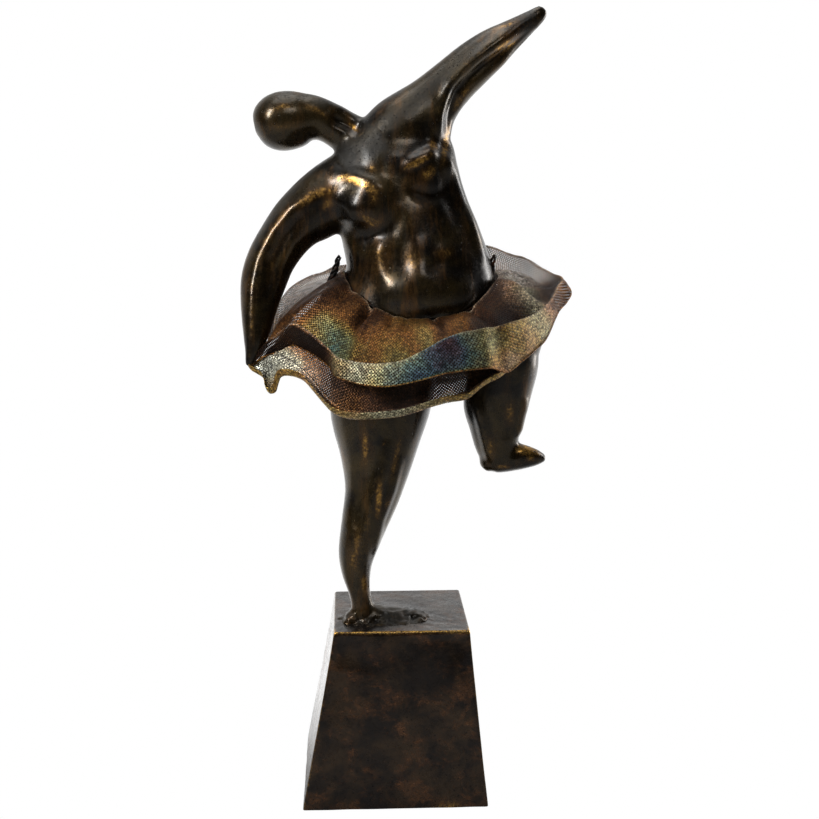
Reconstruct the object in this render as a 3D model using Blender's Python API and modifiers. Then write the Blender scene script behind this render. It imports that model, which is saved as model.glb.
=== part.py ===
"""Bronze dancer statuette with a metal-mesh tutu, on a flared bronze base.

World axes: +X to the dancer's left (the raised leg), -Y the front, +Z up.
The origin is the centre of the underside, on the felt. Values are in millimetres,
and MM turns them into metres.
"""

import math

import bmesh
import bpy
from mathutils import Matrix, Vector
from mathutils.bvhtree import BVHTree

MM = 0.001

# Base casting
BASE_HEIGHT = 80.5
BASE_TOP_SIDE = 62.0
BASE_FOOT_SIDE = 84.6
BASE_TOP_SHIFT = 3.4  # the top sits this far to +X of the foot
BASE_FLARE_POWER = 1.06  # above 1 the sides are hollow, flaring most at the foot
BASE_WALL = 4.5
BASE_ROOF = 6.0
BASE_EDGE_ROUND = 0.7
BASE_STEPS = 8

# Felt let into the rim of the base
FELT_THICK = 1.4
FELT_PROUD = 0.5  # how far the felt stands below the rim
FELT_INSET = 2.2

# Gaps
JOINT_GAP = 0.3
BORE_GAP = 0.25

# Fixings
STUD_DIA = 4.0
STUD_UP = 12.5  # into the ankle
STUD_DOWN = 9.0  # below the roof of the base
WASHER_DIA = 10.0
WASHER_THICK = 1.0
NUT_FLATS = 7.0
NUT_HEIGHT = 3.2
HEEL_FROM_SIDE = 12.6  # from the edge of the top of the base
HEEL_FROM_FRONT = 16.7
TOE_PIN_DIA = 3.0
TOE_PIN_UP = 2.0
TOE_PIN_DOWN = 4.0
TOE_FROM_HEEL = (20.0, 3.1)
DOWEL_SIDES = 24

# Figure
CAST_WALL = 5.0
FIGURE_VOXEL = 1.3
FIGURE_DECIMATE = 0.042
CORE_VOXEL = 2.0
CORE_DECIMATE = 0.09
RING_SIDES = 24
STEPS_PER_STATION = 4

# Tutu
CLOTH_THICK = 0.8  # the woven wire with its folds pressed together
WAIST_WIRE_DIA = 0.8
WAIST_SIDE_HEIGHT = 163.0
WAIST_FRONT_DIP = 21.0
WAIST_BACK_RISE = 4.0
LAYER_DROP = 2.6  # the lower flounce starts this far under the upper one
FLOUNCE_COLUMNS = 54

# The figure's places below are measured from the heel, on the top of the base.
TORSO_AXIS = (25.0, 14.3)
# Stations run along a limb: x, y, z, half width in the XZ plane, half depth along Y.
TORSO = [
    (23, 17.3, 115, 25, 22),
    (24, 17.3, 125, 37, 29),
    (25, 16.3, 141, 40.5, 30.5),
    (26.5, 14.3, 157, 36, 28),
    (25, 13.3, 169, 32, 25),
    (21, 13.3, 181, 29.5, 22),
    (17.5, 14.3, 194, 28.5, 20.5),
    (16, 15.3, 207, 27.5, 18.5),
    (14, 17.3, 218, 24, 15),
    (14, 18.3, 226, 15, 10),
]
RAISED_ARM = [
    (9, 15.3, 208, 19, 15),
    (23, 15.3, 223.5, 18.5, 13.5),
    (34.5, 15.3, 237, 12.6, 10.5),
    (42.5, 15.3, 245, 10.8, 9.2),
    (51.5, 15.3, 253, 10, 8.6),
    (60.5, 15.3, 260, 8.8, 7.6),
    (69, 15.3, 266, 6.6, 5.8),
    (77, 14.3, 271.6, 4.6, 4.2),
    (82, 14.3, 275.6, 3.2, 3),
    (83.4, 14.3, 276.8, 1.4, 1.4),
]
LOWERED_ARM = [
    (3, 15.3, 203, 16, 13),
    (-9, 15.3, 196.5, 15.5, 13.5),
    (-19.5, 14.3, 189, 14.6, 12.5),
    (-27, 13.3, 183.5, 12.8, 11.5),
    (-33.5, 12.8, 176, 11.5, 10.5),
    (-39.5, 11.3, 166.5, 10.9, 9.6),
    (-43, 8.3, 156.5, 10.3, 8.6),
    (-45, 4.3, 145, 8.2, 7.2),
    (-46.2, 0.3, 134, 5.9, 5.4),
    (-47.8, -2.2, 126, 3.5, 3.6),
    (-49.8, -3.7, 120, 1.5, 1.8),
]
HEAD = [
    (-46.4, 18.3, 226.6, 4.2, 4),
    (-44, 18.3, 227, 8.4, 8),
    (-40, 18.3, 227.4, 11.6, 11),
    (-34, 18.3, 227.9, 13.2, 12.4),
    (-27, 18.3, 228.8, 12.5, 11.8),
    (-20.5, 18.3, 229.3, 10.2, 9.8),
    (-14, 18.3, 227.6, 8.8, 8.4),
    (-6, 18.3, 223.4, 9.4, 8.6),
    (3, 18.3, 217.5, 10.5, 9),
]
STANDING_LEG = [
    (17, 16.3, 133, 26, 24),
    (12, 15.3, 116, 25, 23.5),
    (9, 12.3, 95, 22.8, 20.5),
    (8, 9.3, 77, 17.6, 16.6),
    (6, 6.3, 61, 13.4, 13.6),
    (2, 4.3, 46.5, 10.9, 11.6),
    (-1.7, 2.3, 32.5, 8.7, 9.6),
    (-2.2, 1.1, 23, 6.8, 7.4),
    (-1, 0.1, 15, 5.2, 5.6),
    (0.4, -0.1, 8, 5.2, 5.6),
    (1.5, -0.1, 1, 6.4, 6.8),
]
STANDING_FOOT = [
    (-7, -1.3, 1, 2.6, 3.4),
    (-2, -0.9, 2, 5.2, 6),
    (6, 0.3, 1.6, 5.6, 7),
    (15, 2.1, 0.4, 4.6, 7.8),
    (23, 3.7, -0.2, 3.6, 7.4),
    (29, 4.9, -0.6, 2.6, 5.4),
    (32, 5.5, -0.8, 1.4, 3),
]
RAISED_LEG = [
    (33, 15.3, 140, 23, 24),
    (47, 13.3, 136, 22, 23),
    (61, 10.3, 130.5, 20, 20),
    (66.5, 8.3, 121, 15.8, 17),
    (64.4, 7.3, 110, 15.4, 15.2),
    (62.2, 6.3, 100, 14.8, 13.4),
    (62.4, 6.3, 91, 12.4, 11.4),
    (63, 6.3, 82.5, 10.4, 9.2),
    (65, 6.3, 76, 8.8, 7.6),
]
RAISED_FOOT = [
    (57.2, 6.3, 70.2, 2.4, 3.4),
    (60, 6.3, 73.2, 5.6, 6.2),
    (67, 6.3, 75.4, 6.8, 7.2),
    (74, 6.3, 75.6, 6, 7),
    (80, 6.3, 75.2, 4.2, 5.8),
    (84.4, 6.3, 75.2, 2.4, 3.6),
    (86, 6.3, 75.4, 1.3, 2),
]
# Rounded masses set into the lofts: centre, half sizes.
MASSES = [
    ((28, 1.3, 152), (26, 18, 21)),  # belly
    ((5, 2.3, 189.5), (14.5, 12.5, 13.5)),  # breast beside the lowered arm
    ((30, 3.8, 207.5), (12, 11, 11.5)),  # breast under the raised arm
    ((6, 31.3, 131), (24, 18, 21)),  # buttock over the standing leg
    ((42, 31.3, 136), (23, 17, 20)),  # buttock over the raised leg
    ((71, 8.3, 129), (12.5, 14, 12)),  # raised knee
]
MOUND = ((10, 1.1, -0.8), (22, 13, 2.4))  # cast ground under the standing foot

# The cores that leave the figure hollow follow these stretches of the lofts.
CORE_LOFTS = (TORSO[0:8], STANDING_LEG[0:4], RAISED_LEG[0:5])

# Where the castings part: point on the seam, direction into the limb, half reach, depth.
SEAMS = {
    "head": ((-16, 18.3, 228.2), (-1.0, 0.0, 0.0), 13.9, 45.0),
    "raised_arm": ((37, 15.3, 239.6), (0.70, 0.0, 0.71), 30.0, 80.0),
    "lowered_arm": ((-34, 12.8, 175), (-0.55, 0.0, -0.83), 22.0, 75.0),
    "raised_leg": ((53, 12.3, 133), (0.85, 0.0, -0.53), 78.0, 70.0),
}
STANDING_SEAM_HEIGHT = 110.0
STANDING_CELL = ((-55, 38), (-30.7, 59.3))  # x and y reach of what belongs to the leg

DOWELS = {
    "neck_dowel": ("head", 4.0, 16.0),
    "raised_arm_dowel": ("raised_arm", 5.0, 22.0),
    "lowered_arm_dowel": ("lowered_arm", 5.0, 22.0),
}
# Collars back the hollow joints: centre on the seam, direction, outer diameter.
COLLAR_LENGTH = 14.0
COLLAR_WALL = 2.5
COLLARS = {
    "standing_hip_collar": ((10.8, 14.3, STANDING_SEAM_HEIGHT), (0.0, 0.0, -1.0), 38.0),
    "raised_hip_collar": ((53, 12.3, 133), (0.85, 0.0, -0.53), 35.0),
}

# Flounces, counter-clockwise from the dancer's left: rim point, then hem point.
UPPER_FLOUNCE = [
    ((96, 11.3, 157), (99, 9.3, 150)),
    ((90, 32.3, 162), (92, 34.3, 157.5)),
    ((72, 56.3, 167.5), (73.5, 58.3, 163.5)),
    ((45, 69.3, 169), (45.5, 71.8, 164)),
    ((15, 71.3, 165), (14.5, 73.8, 159.5)),
    ((-12, 64.3, 158), (-13.5, 66.3, 152.5)),
    ((-30, 48.3, 150), (-32, 49.8, 144)),
    ((-38.5, 29.3, 141), (-40, 30.3, 135)),
    ((-39.5, 9.3, 130), (-41, 9.3, 124.5)),
    ((-34, -9.7, 136), (-35, -12.7, 129)),
    ((-22, -22.7, 132.5), (-23, -26.2, 125)),
    ((-9, -30.7, 127.5), (-10, -33.7, 119.5)),
    ((7, -37.7, 128), (6, -41.2, 117)),
    ((25, -40.7, 130), (25, -44.2, 118)),
    ((43, -37.2, 135), (44, -40.7, 120.5)),
    ((60, -28.7, 139.5), (63.5, -32.2, 122.5)),
    ((75, -16.7, 143), (79, -19.2, 126.5)),
    ((87, -3.7, 149.5), (91.5, -5.7, 137)),
]
LOWER_FLOUNCE = [
    ((87, 12.3, 146.5), (89, 11.3, 142)),
    ((81, 31.3, 149), (83, 32.8, 145)),
    ((66, 50.3, 153), (67.5, 52.3, 148.5)),
    ((43, 62.3, 153), (43.5, 64.3, 148)),
    ((16, 64.3, 150), (15.5, 66.3, 144.5)),
    ((-7, 58.3, 145), (-8, 60.3, 140)),
    ((-25, 45.3, 138), (-27, 46.8, 133)),
    ((-35, 27.3, 128.5), (-36.5, 27.8, 123.5)),
    ((-39, 9.3, 119.5), (-41, 8.8, 115)),
    ((-35.5, -3.7, 115.5), (-37, -4.7, 110)),
    ((-28, -16.7, 117), (-29, -18.7, 113)),
    ((-16, -25.7, 108), (-17, -27.7, 103.5)),
    ((-1, -31.7, 103.5), (-1.5, -34.2, 99.5)),
    ((15, -34.7, 103), (15, -37.2, 99.5)),
    ((32, -34.7, 108), (32.5, -36.7, 104.5)),
    ((48, -29.2, 112), (49, -31.2, 109)),
    ((63, -19.7, 120.5), (64.5, -21.2, 117.5)),
    ((77, -4.7, 134), (79, -5.7, 130)),
]

BRONZE = ((0.055, 0.036, 0.020, 1.0), 0.32, 1.0)
STEEL = ((0.45, 0.45, 0.46, 1.0), 0.40, 1.0)
FELT = ((0.02, 0.03, 0.02, 1.0), 0.95, 0.0)
COPPER_MESH = ((0.20, 0.11, 0.07, 1.0), 0.45, 1.0)
IRON_WIRE = ((0.03, 0.03, 0.03, 1.0), 0.55, 1.0)


def clear_scene():
    for obj in list(bpy.data.objects):
        bpy.data.objects.remove(obj)


def new_collection(name):
    collection = bpy.data.collections.new(name)
    bpy.context.scene.collection.children.link(collection)
    return collection


def material(name, look):
    color, roughness, metallic = look
    made = bpy.data.materials.get(name) or bpy.data.materials.new(name)
    made.use_nodes = True
    shader = made.node_tree.nodes["Principled BSDF"]
    shader.inputs["Base Color"].default_value = color
    shader.inputs["Roughness"].default_value = roughness
    shader.inputs["Metallic"].default_value = metallic
    return made


def add_object(name, mesh, collection, look=None, helper=False):
    obj = bpy.data.objects.new(name, mesh)
    collection.objects.link(obj)
    if look:
        mesh.materials.clear()
        mesh.materials.append(material(*look))
    if helper:
        obj.hide_render = True
        obj.display_type = "WIRE"
    return obj


def mesh_from(bm, name):
    bmesh.ops.recalc_face_normals(bm, faces=bm.faces)
    mesh = bpy.data.meshes.new(name)
    bm.to_mesh(mesh)
    bm.free()
    return mesh


def evaluated_mesh(obj, name):
    bpy.context.view_layer.update()
    graph = bpy.context.evaluated_depsgraph_get()
    mesh = bpy.data.meshes.new_from_object(obj.evaluated_get(graph))
    mesh.name = name
    mesh.transform(obj.matrix_world)
    return mesh


def frame_along(direction):
    """Rotation whose Z runs along direction."""
    return Vector(direction).normalized().to_track_quat("Z", "Y").to_matrix().to_4x4()


def figure_floor():
    """The top of the base, which the figure's heights are measured from."""
    return BASE_HEIGHT + FELT_PROUD


def placed(point):
    """World place of a point measured from the heel."""
    heel_x = BASE_TOP_SHIFT - BASE_TOP_SIDE / 2 + HEEL_FROM_SIDE
    heel_y = HEEL_FROM_FRONT - BASE_TOP_SIDE / 2
    return Vector((point[0] + heel_x, point[1] + heel_y, point[2] + figure_floor()))


def catmull_rom(a, b, c, d, t):
    return 0.5 * (2 * b + (c - a) * t + (2 * a - 5 * b + 4 * c - d) * t**2 + (3 * b - a - 3 * c + d) * t**3)


def spline(points, steps):
    """Points along a smooth open curve through the given ones."""
    ends = [2 * points[0] - points[1], *points, 2 * points[-1] - points[-2]]
    fine = []
    for i in range(len(points) - 1):
        fine += [catmull_rom(*ends[i : i + 4], k / steps) for k in range(steps)]
    return [*fine, points[-1]]


def loop_spline(points, count):
    """count points along a smooth closed curve through the given ones."""
    n = len(points)
    fine = []
    for k in range(count):
        at = k * n / count
        i = int(at)
        around = [points[(i + j) % n] for j in (-1, 0, 1, 2)]
        fine.append(catmull_rom(*around, at - i))
    return fine


def add_loft(bm, stations):
    """A closed tube through elliptical stations, added to bm."""
    fine = spline([Vector(s) for s in stations], STEPS_PER_STATION)
    centres = [placed(s) for s in fine]
    rings = []
    for i, station in enumerate(fine):
        axis = centres[min(i + 1, len(fine) - 1)] - centres[max(i - 1, 0)]
        across = axis.cross(Vector((0, 1, 0))).normalized()
        depth = axis.cross(across).normalized()
        ring = []
        for k in range(RING_SIDES):
            turn = 2 * math.pi * k / RING_SIDES
            out = across * station[3] * math.cos(turn) + depth * station[4] * math.sin(turn)
            ring.append(bm.verts.new((centres[i] + out) * MM))
        rings.append(ring)
    for low, high in zip(rings, rings[1:]):
        for k in range(RING_SIDES):
            bm.faces.new((low[k - 1], low[k], high[k], high[k - 1]))
    bm.faces.new(rings[0])
    bm.faces.new(reversed(rings[-1]))


def add_mass(bm, centre, halves):
    place = Matrix.Translation(placed(centre) * MM) @ Matrix.Diagonal((*(Vector(halves) * MM), 1))
    bmesh.ops.create_uvsphere(bm, u_segments=32, v_segments=20, radius=1.0, matrix=place)


def fused(name, lofts, masses, voxel, decimate, collection):
    """Lofts and rounded masses fused into one skin of triangles."""
    bm = bmesh.new()
    for stations in lofts:
        add_loft(bm, stations)
    for centre, halves in masses:
        add_mass(bm, centre, halves)
    obj = add_object(name + "_blank", mesh_from(bm, name + "_blank"), collection, helper=True)
    remesh = obj.modifiers.new("fuse", "REMESH")
    remesh.mode = "VOXEL"
    remesh.voxel_size = voxel * MM
    smooth = obj.modifiers.new("soften", "SMOOTH")
    smooth.factor = 0.5
    smooth.iterations = 4
    fewer = obj.modifiers.new("fewer", "DECIMATE")
    fewer.ratio = decimate
    mesh = evaluated_mesh(obj, name)
    bpy.data.objects.remove(obj)
    return mesh


def box_cell(name, low, high, collection):
    bm = bmesh.new()
    bmesh.ops.create_cube(bm, size=1.0)
    size = Vector(high) - Vector(low)
    middle = (Vector(high) + Vector(low)) / 2
    bmesh.ops.transform(bm, matrix=Matrix.Translation(middle * MM) @ Matrix.Diagonal((*(size * MM), 1)), verts=bm.verts)
    return add_object(name, mesh_from(bm, name), collection, helper=True)


def seam_cell(name, seam, side, collection):
    """A block with one face on the seam, moved half the gap into the limb (side 1) or out of it (side -1)."""
    point, into, reach, depth = seam
    normal = Vector(into).normalized()
    face = placed(point) + normal * side * JOINT_GAP / 2
    bm = bmesh.new()
    bmesh.ops.create_cube(bm, size=1.0)
    scale = Matrix.Diagonal((2 * reach * MM, 2 * reach * MM, depth * MM, 1))
    place = Matrix.Translation((face + normal * depth / 2) * MM)
    bmesh.ops.transform(bm, matrix=place @ frame_along(into) @ scale, verts=bm.verts)
    return add_object(name, mesh_from(bm, name), collection, helper=True)


def cylinder_mesh(name, centre, direction, diameter, length, sides=DOWEL_SIDES):
    bm = bmesh.new()
    bmesh.ops.create_cone(
        bm,
        cap_ends=True,
        segments=sides,
        radius1=diameter / 2 * MM,
        radius2=diameter / 2 * MM,
        depth=length * MM,
        matrix=Matrix.Translation(Vector(centre) * MM) @ frame_along(direction),
    )
    return mesh_from(bm, name)


def cutter_cylinder(name, centre, direction, diameter, length, collection):
    return add_object(name, cylinder_mesh(name, centre, direction, diameter, length), collection, helper=True)


def boolean(obj, other, operation):
    modifier = obj.modifiers.new(operation.lower() + "_" + other.name, "BOOLEAN")
    modifier.operation = operation
    modifier.object = other
    return modifier


def base_half_side(height):
    """Half the outer side of the base at a height above its foot."""
    share = 1 - height / BASE_HEIGHT
    return BASE_TOP_SIDE / 2 + (BASE_FOOT_SIDE - BASE_TOP_SIDE) / 2 * max(share, 0) ** BASE_FLARE_POWER


def add_flared_block(bm, low, high, inset):
    """Stacked squares that follow the flare of the base, between two heights."""
    rings = []
    for i in range(BASE_STEPS + 1):
        height = low + (high - low) * i / BASE_STEPS
        half = base_half_side(min(max(height, 0), BASE_HEIGHT)) - inset
        shift = BASE_TOP_SHIFT * height / BASE_HEIGHT
        rings.append(
            [
                bm.verts.new(Vector((shift + sx * half, sy * half, height + FELT_PROUD)) * MM)
                for sx, sy in ((-1, -1), (1, -1), (1, 1), (-1, 1))
            ]
        )
    for lower, upper in zip(rings, rings[1:]):
        for k in range(4):
            bm.faces.new((lower[k - 1], lower[k], upper[k], upper[k - 1]))
    bm.faces.new(reversed(rings[0]))
    bm.faces.new(rings[-1])


def build_base(parts, cutters):
    bm = bmesh.new()
    add_flared_block(bm, 0, BASE_HEIGHT, 0)
    base = add_object("base_casting", mesh_from(bm, "base_casting"), parts, ("patinated_bronze", BRONZE))
    soften = base.modifiers.new("worn_edges", "BEVEL")
    soften.width = BASE_EDGE_ROUND * MM
    soften.segments = 2
    soften.limit_method = "ANGLE"
    soften.angle_limit = math.radians(40)

    bm = bmesh.new()
    add_flared_block(bm, -2, BASE_HEIGHT - BASE_ROOF, BASE_WALL)
    hollow = add_object("base_hollow", mesh_from(bm, "base_hollow"), cutters, helper=True)
    boolean(base, hollow, "DIFFERENCE")

    felt_half = BASE_FOOT_SIDE / 2 - FELT_INSET
    rebate_half = felt_half + JOINT_GAP
    rebate_top = FELT_THICK + JOINT_GAP
    rebate = box_cell("felt_rebate", (-rebate_half, -rebate_half, -1), (rebate_half, rebate_half, rebate_top), cutters)
    boolean(base, rebate, "DIFFERENCE")

    bm = bmesh.new()
    bmesh.ops.create_cube(bm, size=1.0)
    size = Matrix.Diagonal((2 * felt_half * MM, 2 * felt_half * MM, FELT_THICK * MM, 1))
    bmesh.ops.transform(bm, matrix=Matrix.Translation((0, 0, FELT_THICK / 2 * MM)) @ size, verts=bm.verts)
    add_object("base_felt", mesh_from(bm, "base_felt"), parts, ("felt", FELT))
    return base


def build_fixings(parts, cutters, base, leg):
    """The stud through the heel with its washer and nut, and the pin under the toe."""
    heel = placed((0, 0, 0)).xy
    roof = figure_floor() - BASE_ROOF
    stud_low, stud_high = roof - STUD_DOWN, figure_floor() + STUD_UP
    middle = (*heel, (stud_low + stud_high) / 2)
    length = stud_high - stud_low
    stud = add_object(
        "heel_stud", cylinder_mesh("heel_stud", middle, (0, 0, 1), STUD_DIA, length), parts, ("plain_steel", STEEL)
    )
    tips = stud.modifiers.new("chamfer", "BEVEL")
    tips.width = 0.4 * MM
    tips.segments = 1
    tips.limit_method = "ANGLE"
    tips.angle_limit = math.radians(60)
    bore = cutter_cylinder("stud_bore", middle, (0, 0, 1), STUD_DIA + 2 * BORE_GAP, length + 2 * BORE_GAP, cutters)

    washer_z = roof - JOINT_GAP - WASHER_THICK / 2
    washer = add_object(
        "stud_washer",
        cylinder_mesh("stud_washer", (*heel, washer_z), (0, 0, 1), WASHER_DIA, WASHER_THICK, 32),
        parts,
        ("plain_steel", STEEL),
    )
    boolean(washer, bore, "DIFFERENCE")
    nut_z = roof - 2 * JOINT_GAP - WASHER_THICK - NUT_HEIGHT / 2
    nut = add_object(
        "stud_nut",
        cylinder_mesh("stud_nut", (*heel, nut_z), (0, 0, 1), NUT_FLATS / math.cos(math.pi / 6), NUT_HEIGHT, 6),
        parts,
        ("plain_steel", STEEL),
    )
    boolean(nut, bore, "DIFFERENCE")

    pin_low, pin_high = figure_floor() - TOE_PIN_DOWN, figure_floor() + TOE_PIN_UP
    pin_middle = (*(heel + Vector(TOE_FROM_HEEL)), (pin_low + pin_high) / 2)
    pin_length = pin_high - pin_low
    add_object(
        "toe_pin",
        cylinder_mesh("toe_pin", pin_middle, (0, 0, 1), TOE_PIN_DIA, pin_length),
        parts,
        ("patinated_bronze", BRONZE),
    )
    pin_bore = cutter_cylinder(
        "pin_bore", pin_middle, (0, 0, 1), TOE_PIN_DIA + 2 * BORE_GAP, pin_length + 2 * BORE_GAP, cutters
    )
    for casting in (base, leg):
        boolean(casting, bore, "DIFFERENCE")
        boolean(casting, pin_bore, "DIFFERENCE")


def build_figure(parts, cutters):
    """The six castings, cut from one fused skin along the seams. Returns them and the skin."""
    lofts = [TORSO, RAISED_ARM, LOWERED_ARM, HEAD, STANDING_LEG, STANDING_FOOT, RAISED_LEG, RAISED_FOOT]
    skin = fused("figure", lofts, [*MASSES, MOUND], FIGURE_VOXEL, FIGURE_DECIMATE, cutters)
    cores = [[(*row[:3], row[3] - CAST_WALL, row[4] - CAST_WALL) for row in rows] for rows in CORE_LOFTS]
    core = add_object("core", fused("core", cores, [], CORE_VOXEL, CORE_DECIMATE, cutters), cutters, helper=True)

    (x_low, x_high), (y_low, y_high) = STANDING_CELL
    floor = figure_floor() + JOINT_GAP
    leg_top = figure_floor() + STANDING_SEAM_HEIGHT - JOINT_GAP / 2
    low, high = placed((x_low, y_low, 0)).xy, placed((x_high, y_high, 0)).xy
    leg_cell = box_cell("standing_leg_cell", (*low, floor), (*high, leg_top), cutters)
    off_high = (high.x + JOINT_GAP, high.y, leg_top + JOINT_GAP)
    off_leg = box_cell("off_standing_leg", (*low, 0), off_high, cutters)

    castings = {}
    for name in ("torso", "head", "raised_arm", "lowered_arm", "standing_leg", "raised_leg"):
        castings[name] = add_object(name, skin.copy(), parts, ("patinated_bronze", BRONZE))
    boolean(castings["standing_leg"], leg_cell, "INTERSECT")
    boolean(castings["torso"], off_leg, "DIFFERENCE")
    for name, seam in SEAMS.items():
        boolean(castings[name], seam_cell(name + "_cell", seam, 1, cutters), "INTERSECT")
        boolean(castings["torso"], seam_cell("off_" + name, seam, -1, cutters), "DIFFERENCE")
    boolean(castings["raised_leg"], off_leg, "DIFFERENCE")
    for name in ("torso", "standing_leg", "raised_leg"):
        boolean(castings[name], core, "DIFFERENCE")
    return castings, skin


def build_dowels(parts, cutters, castings):
    for name, (limb, diameter, length) in DOWELS.items():
        point, into = placed(SEAMS[limb][0]), SEAMS[limb][1]
        mesh = cylinder_mesh(name, point, into, diameter, length)
        add_object(name, mesh, parts, ("patinated_bronze", BRONZE))
        bore = cutter_cylinder(name + "_bore", point, into, diameter + 2 * BORE_GAP, length + 2 * BORE_GAP, cutters)
        boolean(castings[limb], bore, "DIFFERENCE")
        boolean(castings["torso"], bore, "DIFFERENCE")


def build_collars(parts, cutters, castings):
    """Collars inside the hollow hip joints, each in a bored seat that opens into the cores."""
    limbs = {"standing_hip_collar": "standing_leg", "raised_hip_collar": "raised_leg"}
    for name, (seam_point, into, diameter) in COLLARS.items():
        point = placed(seam_point)
        collar = add_object(
            name, cylinder_mesh(name, point, into, diameter, COLLAR_LENGTH, 32), parts, ("patinated_bronze", BRONZE)
        )
        inside = diameter - 2 * COLLAR_WALL
        way = add_object(
            name + "_way", cylinder_mesh(name + "_way", point, into, inside, 2 * COLLAR_LENGTH, 32), cutters, helper=True
        )
        boolean(collar, way, "DIFFERENCE")
        seat = add_object(
            name + "_seat",
            cylinder_mesh(name + "_seat", point, into, diameter + 2 * JOINT_GAP, COLLAR_LENGTH + 2 * JOINT_GAP, 32),
            cutters,
            helper=True,
        )
        boolean(castings[limbs[name]], seat, "DIFFERENCE")
        boolean(castings["torso"], seat, "DIFFERENCE")


def waist_height(turn):
    """Height of the waist edge at an angle about the torso; -90 degrees is the front."""
    front = -math.sin(turn)
    dip = WAIST_FRONT_DIP * max(front, 0) ** 1.4
    rise = WAIST_BACK_RISE * max(-front, 0)
    return WAIST_SIDE_HEIGHT - dip + rise


def waist_clear():
    """From the figure's skin to the middle of the cloth, with the wire between them."""
    return JOINT_GAP + WAIST_WIRE_DIA + JOINT_GAP + CLOTH_THICK / 2


def waist_point(tree, turn, clear, drop):
    """A point this clear of the figure's skin at the waist."""
    out = Vector((math.cos(turn), math.sin(turn), 0))
    axis = placed((*TORSO_AXIS, waist_height(turn) - drop))
    hit, _, _, _ = tree.ray_cast(axis * MM, out)
    return hit / MM + out * clear


def flounce_rows(tree, controls, drop):
    """Rows of points from the waist to the hem, each row a closed loop of columns."""
    rims = loop_spline([placed(rim) for rim, _ in controls], FLOUNCE_COLUMNS)
    hems = loop_spline([placed(hem) for _, hem in controls], FLOUNCE_COLUMNS)
    axis = placed((*TORSO_AXIS, 0))
    columns = []
    for rim, hem in zip(rims, hems):
        turn = math.atan2(rim.y - axis.y, rim.x - axis.x)
        waist = waist_point(tree, turn, waist_clear(), drop)
        middle = waist.lerp(rim, 0.5) + Vector((0, 0, 1.5))
        columns.append(spline([waist, middle, rim, hem], 2))
    return [[column[i] for column in columns] for i in range(len(columns[0]))]


def build_flounce(name, rows, parts):
    bm = bmesh.new()
    rings = [[bm.verts.new(p * MM) for p in row] for row in rows]
    for inner, outer in zip(rings, rings[1:]):
        for k in range(len(inner)):
            bm.faces.new((inner[k - 1], inner[k], outer[k], outer[k - 1]))
    mesh = mesh_from(bm, name)
    obj = add_object(name, mesh, parts, ("copper_mesh", COPPER_MESH))
    thick = obj.modifiers.new("cloth", "SOLIDIFY")
    thick.thickness = CLOTH_THICK * MM
    thick.offset = 0.0
    return obj


def build_ring(name, points, diameter, parts, look):
    """A closed wire through the points."""
    curve = bpy.data.curves.new(name, "CURVE")
    curve.dimensions = "3D"
    curve.bevel_depth = diameter / 2 * MM
    curve.bevel_resolution = 0
    line = curve.splines.new("POLY")
    line.points.add(len(points) - 1)
    for node, point in zip(line.points, points):
        node.co = (*(point * MM), 1)
    line.use_cyclic_u = True
    curve.materials.append(material(*look))
    obj = bpy.data.objects.new(name, curve)
    parts.objects.link(obj)
    return obj


def build_tutu(skin, parts):
    bm = bmesh.new()
    bm.from_mesh(skin)
    tree = BVHTree.FromBMesh(bm)
    bm.free()
    build_flounce("tutu_upper", flounce_rows(tree, UPPER_FLOUNCE, 0.0), parts)
    build_flounce("tutu_lower", flounce_rows(tree, LOWER_FLOUNCE, LAYER_DROP), parts)

    wire_clear = JOINT_GAP + WAIST_WIRE_DIA / 2
    turns = [2 * math.pi * k / FLOUNCE_COLUMNS for k in range(FLOUNCE_COLUMNS)]
    waist = [waist_point(tree, turn, wire_clear, LAYER_DROP / 2) for turn in turns]
    build_ring("waist_wire", waist, WAIST_WIRE_DIA, parts, ("iron_wire", IRON_WIRE))


def main():
    clear_scene()
    parts = new_collection("bronze_statuette")
    cutters = new_collection("cutters")
    cutters.hide_render = True
    base = build_base(parts, cutters)
    castings, skin = build_figure(parts, cutters)
    build_collars(parts, cutters, castings)
    build_dowels(parts, cutters, castings)
    build_fixings(parts, cutters, base, castings["standing_leg"])
    build_tutu(skin, parts)


main()
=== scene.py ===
import math

import bmesh
import bpy
import numpy as np
from mathutils import Matrix, Vector, noise
from mathutils.bvhtree import BVHTree


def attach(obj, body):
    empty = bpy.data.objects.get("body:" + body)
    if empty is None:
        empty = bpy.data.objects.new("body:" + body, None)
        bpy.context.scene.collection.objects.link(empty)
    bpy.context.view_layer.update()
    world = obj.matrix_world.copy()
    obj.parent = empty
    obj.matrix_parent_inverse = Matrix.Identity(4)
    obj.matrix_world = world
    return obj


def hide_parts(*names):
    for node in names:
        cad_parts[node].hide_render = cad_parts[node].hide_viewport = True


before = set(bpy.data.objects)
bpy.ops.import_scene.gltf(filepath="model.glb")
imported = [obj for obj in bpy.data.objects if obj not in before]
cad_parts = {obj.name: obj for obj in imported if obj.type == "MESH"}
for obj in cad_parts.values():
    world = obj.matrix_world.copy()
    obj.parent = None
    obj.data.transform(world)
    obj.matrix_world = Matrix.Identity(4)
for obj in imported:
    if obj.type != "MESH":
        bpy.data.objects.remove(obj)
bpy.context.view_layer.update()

mm = 0.001
print("frame loaded")


# ---- short ways to make nodes ----
def node(tree, kind, inputs=None, **settings):
    made = tree.nodes.new("ShaderNode" + kind)
    for key, value in settings.items():
        setattr(made, key, value)
    fill(tree, made, inputs or {})
    return made


def fill(tree, made, inputs):
    # a socket is linked, anything else is set
    for key, value in inputs.items():
        if isinstance(value, bpy.types.NodeSocket):
            tree.links.new(value, made.inputs[key])
        else:
            made.inputs[key].default_value = value


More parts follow.
